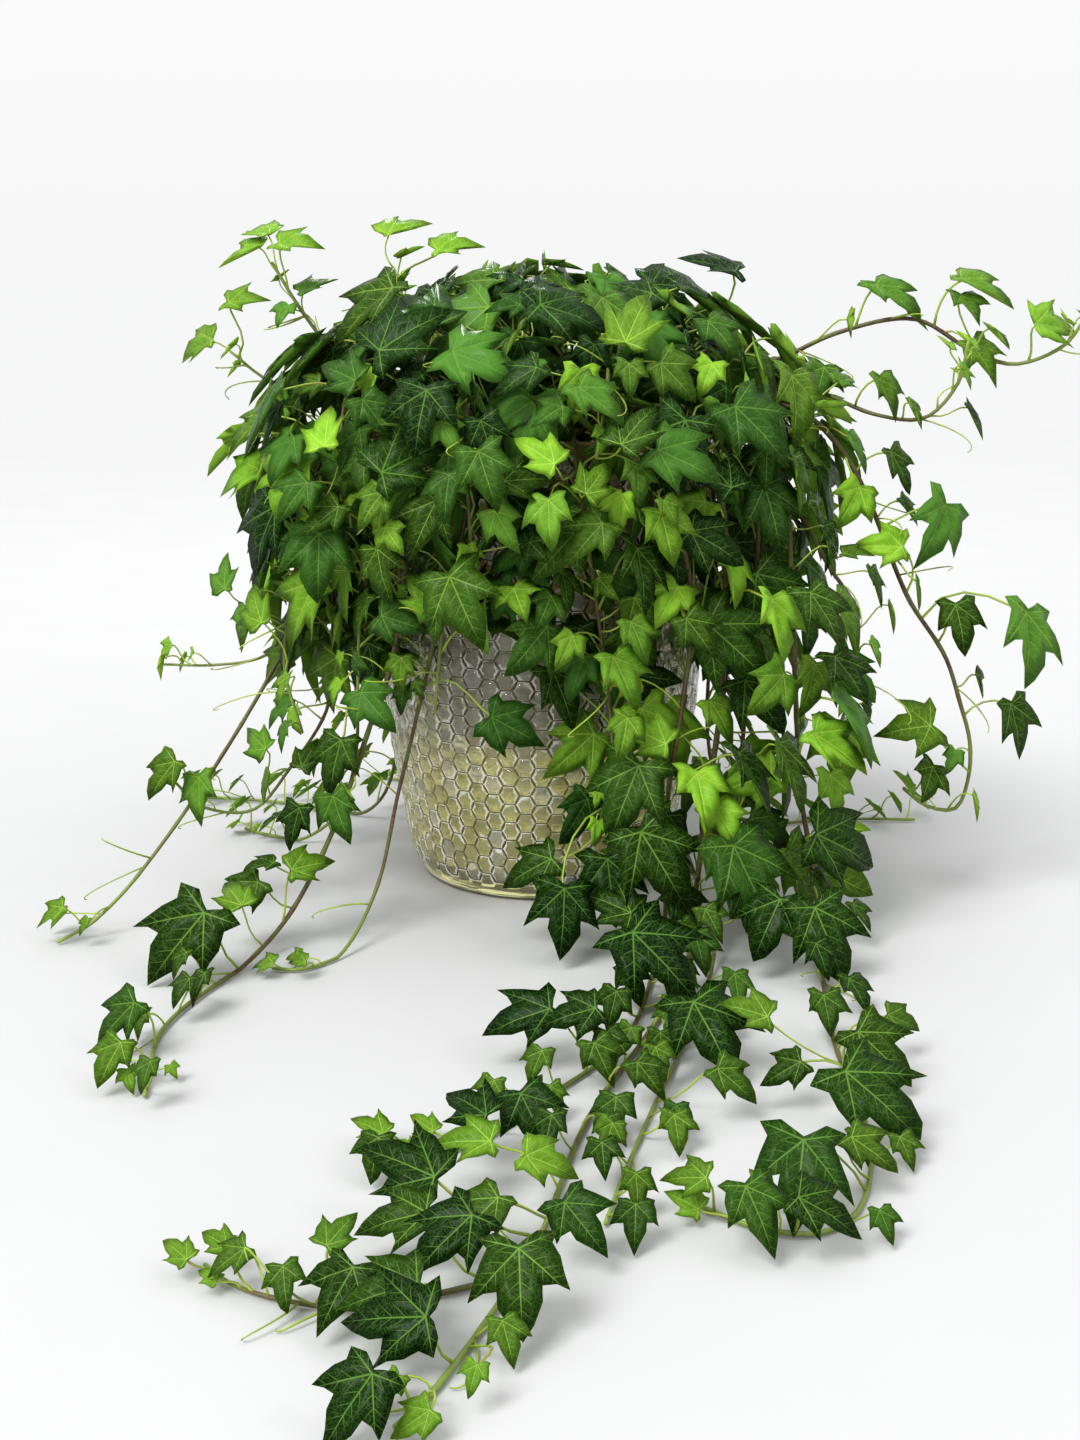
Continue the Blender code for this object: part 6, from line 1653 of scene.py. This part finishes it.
class StageSettings(bpy.types.PropertyGroup):
    floor_size: bpy.props.FloatProperty(
        name="Floor size", description="Side of the square floor", default=60.0, unit="LENGTH",
    )
    floor_colour: bpy.props.FloatVectorProperty(
        name="Floor colour", description="Colour of the plain floor", default=(0.535, 0.536, 0.538), subtype="COLOR",
        min=0.0, max=1.0,
    )
    sky_colour: bpy.props.FloatVectorProperty(
        name="Surround", description="Colour of the studio's surround", default=(0.993, 0.993, 1.000), subtype="COLOR",
        min=0.0, max=1.0,
    )
    sky_strength: bpy.props.FloatProperty(
        name="Surround strength", description="Light of the surround at the horizon", default=0.939,
    )
    sky_top: bpy.props.FloatProperty(
        name="Overhead", description="How many times brighter the surround is overhead", default=1.313,
    )
    key_strength: bpy.props.FloatProperty(
        name="Key light", description="Strength of the broad soft light from the upper left", default=2.6,
    )
    sparkle_power: bpy.props.FloatProperty(
        name="Sparkle lights", description="Power of each small light that glints in the glass, in watts", default=2.4,
    )
    contrast_gamma: bpy.props.FloatProperty(
        name="Contrast", description="Display gamma: under 1 deepens the shade between the leaves", default=0.88,
    )
    camera_place: bpy.props.FloatVectorProperty(
        name="Camera place", description="Where the camera stands", default=(-0.0009, -1.211, 0.389), subtype="XYZ",
        unit="LENGTH",
    )
    camera_tilt: bpy.props.FloatProperty(
        name="Camera tilt", description="How far the camera looks down", default=math.radians(13.55), subtype="ANGLE",
    )
    focal_length: bpy.props.FloatProperty(
        name="Focal length", description="Lens on a 36 mm sensor, in millimetres", default=48.3,
    )


# Operators


class IVY_OT_glass_planter(bpy.types.Operator):
    """Build the pressed-glass planter with its honeycomb of small facets"""

    bl_idname = "potted_ivy.glass_planter"
    bl_label = "Glass planter"

    def execute(self, context):
        settings = context.scene.ivy_planter
        piece = planter_piece(settings)
        piece.data.materials.append(glass_material(settings))
        settle(piece, "pressed_glass", "glass_planter")
        return {"FINISHED"}


class IVY_OT_nursery_pot(bpy.types.Operator):
    """Build the fluted plastic pot that stands inside the glass"""

    bl_idname = "potted_ivy.nursery_pot"
    bl_label = "Nursery pot"

    def execute(self, context):
        piece = nursery_piece()
        piece.data.materials.append(plastic_material())
        settle(piece, "pot_plastic", "nursery_pot")
        return {"FINISHED"}


class IVY_OT_potting_soil(bpy.types.Operator):
    """Build the crumbly soil that fills the pot"""

    bl_idname = "potted_ivy.potting_soil"
    bl_label = "Potting soil"

    def execute(self, context):
        piece = soil_piece()
        piece.data.materials.append(soil_material())
        settle(piece, "dark_soil", "potting_soil")
        return {"FINISHED"}


class IVY_OT_vines(bpy.types.Operator):
    """Build every leafy stem, with its veined leaves and thin stalks"""

    bl_idname = "potted_ivy.vines"
    bl_label = "Vines"

    def execute(self, context):
        settings = context.scene.ivy_leaves
        stems = make_stems()
        placer = Placer(stems)
        place_plain_leaves(placer)
        plain = len(placer.leaves)
        place_small_leaves(placer)
        print("leaves", plain, "of the solids and", len(placer.leaves) - plain, "more")
        materials = (stem_material(), leaf_material(settings), stalk_material())
        nodes = [name for name, line in stems.items() if line["node"] == name]
        for number, node in enumerate(nodes):
            piece = vine_piece(node, number, stems, placer.leaves, materials)
            settle(piece, "ivy_green", node)
        return {"FINISHED"}


class IVY_OT_stage(bpy.types.Operator):
    """Set the pale floor, the soft studio light and the camera"""

    bl_idname = "potted_ivy.stage"
    bl_label = "Studio stage"

    def execute(self, context):
        settings = context.scene.ivy_stage
        scene = context.scene
        half = 0.5 * settings.floor_size
        corners = [(-half, -half, 0.0), (half, -half, 0.0), (half, half, 0.0), (-half, half, 0.0)]
        floor = shown_piece("floor", corners, [(0, 1, 2, 3)], False)
        floor.data.materials.append(floor_material(settings))
        world = bpy.data.worlds.new("studio")
        world.use_nodes = True
        tree = world.node_tree
        direction = tree.nodes.new("ShaderNodeTexCoord").outputs["Generated"]
        split = tree.nodes.new("ShaderNodeSeparateXYZ")
        tree.links.new(direction, split.inputs[0])
        height = tree.nodes.new("ShaderNodeMapRange")
        height.inputs["To Min"].default_value = settings.sky_strength
        height.inputs["To Max"].default_value = settings.sky_strength * settings.sky_top
        tree.links.new(split.outputs[2], height.inputs[0])
        background = tree.nodes["Background"]
        background.inputs["Color"].default_value = (*settings.sky_colour, 1.0)
        tree.links.new(height.outputs[0], background.inputs["Strength"])
        scene.world = world
        light = bpy.data.lights.new("key", "SUN")
        light.angle = math.radians(28.0)
        light.energy = settings.key_strength
        lamp = bpy.data.objects.new("key", light)
        lamp.location = (-1.0, -1.2, 2.2)
        lamp.rotation_euler = (math.radians(38.0), 0.0, math.radians(-40.0))
        scene.collection.objects.link(lamp)
        for number, place in enumerate(((-0.9, -1.5, 0.9), (1.1, -1.2, 1.3), (-0.2, 1.5, 1.4))):
            light = bpy.data.lights.new(f"sparkle_{number + 1}", "AREA")
            light.shape = "DISK"
            light.size = 0.14
            light.energy = settings.sparkle_power
            lamp = bpy.data.objects.new(light.name, light)
            lamp.location = place
            x, y, z = place
            lamp.rotation_euler = (math.atan2(math.hypot(x, y), z - 0.15), 0.0, math.atan2(x, -y))
            lamp.visible_camera = False
            scene.collection.objects.link(lamp)
        lens = bpy.data.cameras.new("camera")
        lens.sensor_fit = "VERTICAL"
        lens.sensor_height = 36.0
        lens.lens = settings.focal_length
        camera = bpy.data.objects.new("camera", lens)
        camera.location = settings.camera_place
        camera.rotation_euler = (math.radians(90.0) - settings.camera_tilt, 0.0, 0.0)
        scene.collection.objects.link(camera)
        scene.camera = camera
        scene.view_settings.view_transform = "Standard"
        scene.view_settings.gamma = settings.contrast_gamma
        return {"FINISHED"}


OPERATORS = (IVY_OT_glass_planter, IVY_OT_nursery_pot, IVY_OT_potting_soil, IVY_OT_vines, IVY_OT_stage)


class IVY_PT_panel(bpy.types.Panel):
    """Lists the pieces of the potted ivy and their settings"""

    bl_idname = "IVY_PT_panel"
    bl_label = "Potted Ivy"
    bl_space_type = "VIEW_3D"
    bl_region_type = "UI"
    bl_category = "Potted Ivy"

    def draw(self, context):
        for operator in OPERATORS:
            self.layout.operator(operator.bl_idname)
        for group in ("ivy_planter", "ivy_leaves", "ivy_stage"):
            settings = getattr(context.scene, group)
            box = self.layout.box()
            for name in settings.__annotations__:
                box.prop(settings, name)


CLASSES = (PlanterSettings, IvySettings, StageSettings) + OPERATORS + (IVY_PT_panel,)


def register():
    for item in CLASSES:
        bpy.utils.register_class(item)
    bpy.types.Scene.ivy_planter = bpy.props.PointerProperty(type=PlanterSettings)
    bpy.types.Scene.ivy_leaves = bpy.props.PointerProperty(type=IvySettings)
    bpy.types.Scene.ivy_stage = bpy.props.PointerProperty(type=StageSettings)


def unregister():
    del bpy.types.Scene.ivy_planter
    del bpy.types.Scene.ivy_leaves
    del bpy.types.Scene.ivy_stage
    for item in reversed(CLASSES):
        bpy.utils.unregister_class(item)


def main():
    register()
    bpy.ops.potted_ivy.glass_planter()
    bpy.ops.potted_ivy.nursery_pot()
    bpy.ops.potted_ivy.potting_soil()
    bpy.ops.potted_ivy.vines()
    bpy.ops.potted_ivy.stage()
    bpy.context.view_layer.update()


if __name__ == "__main__":
    main()
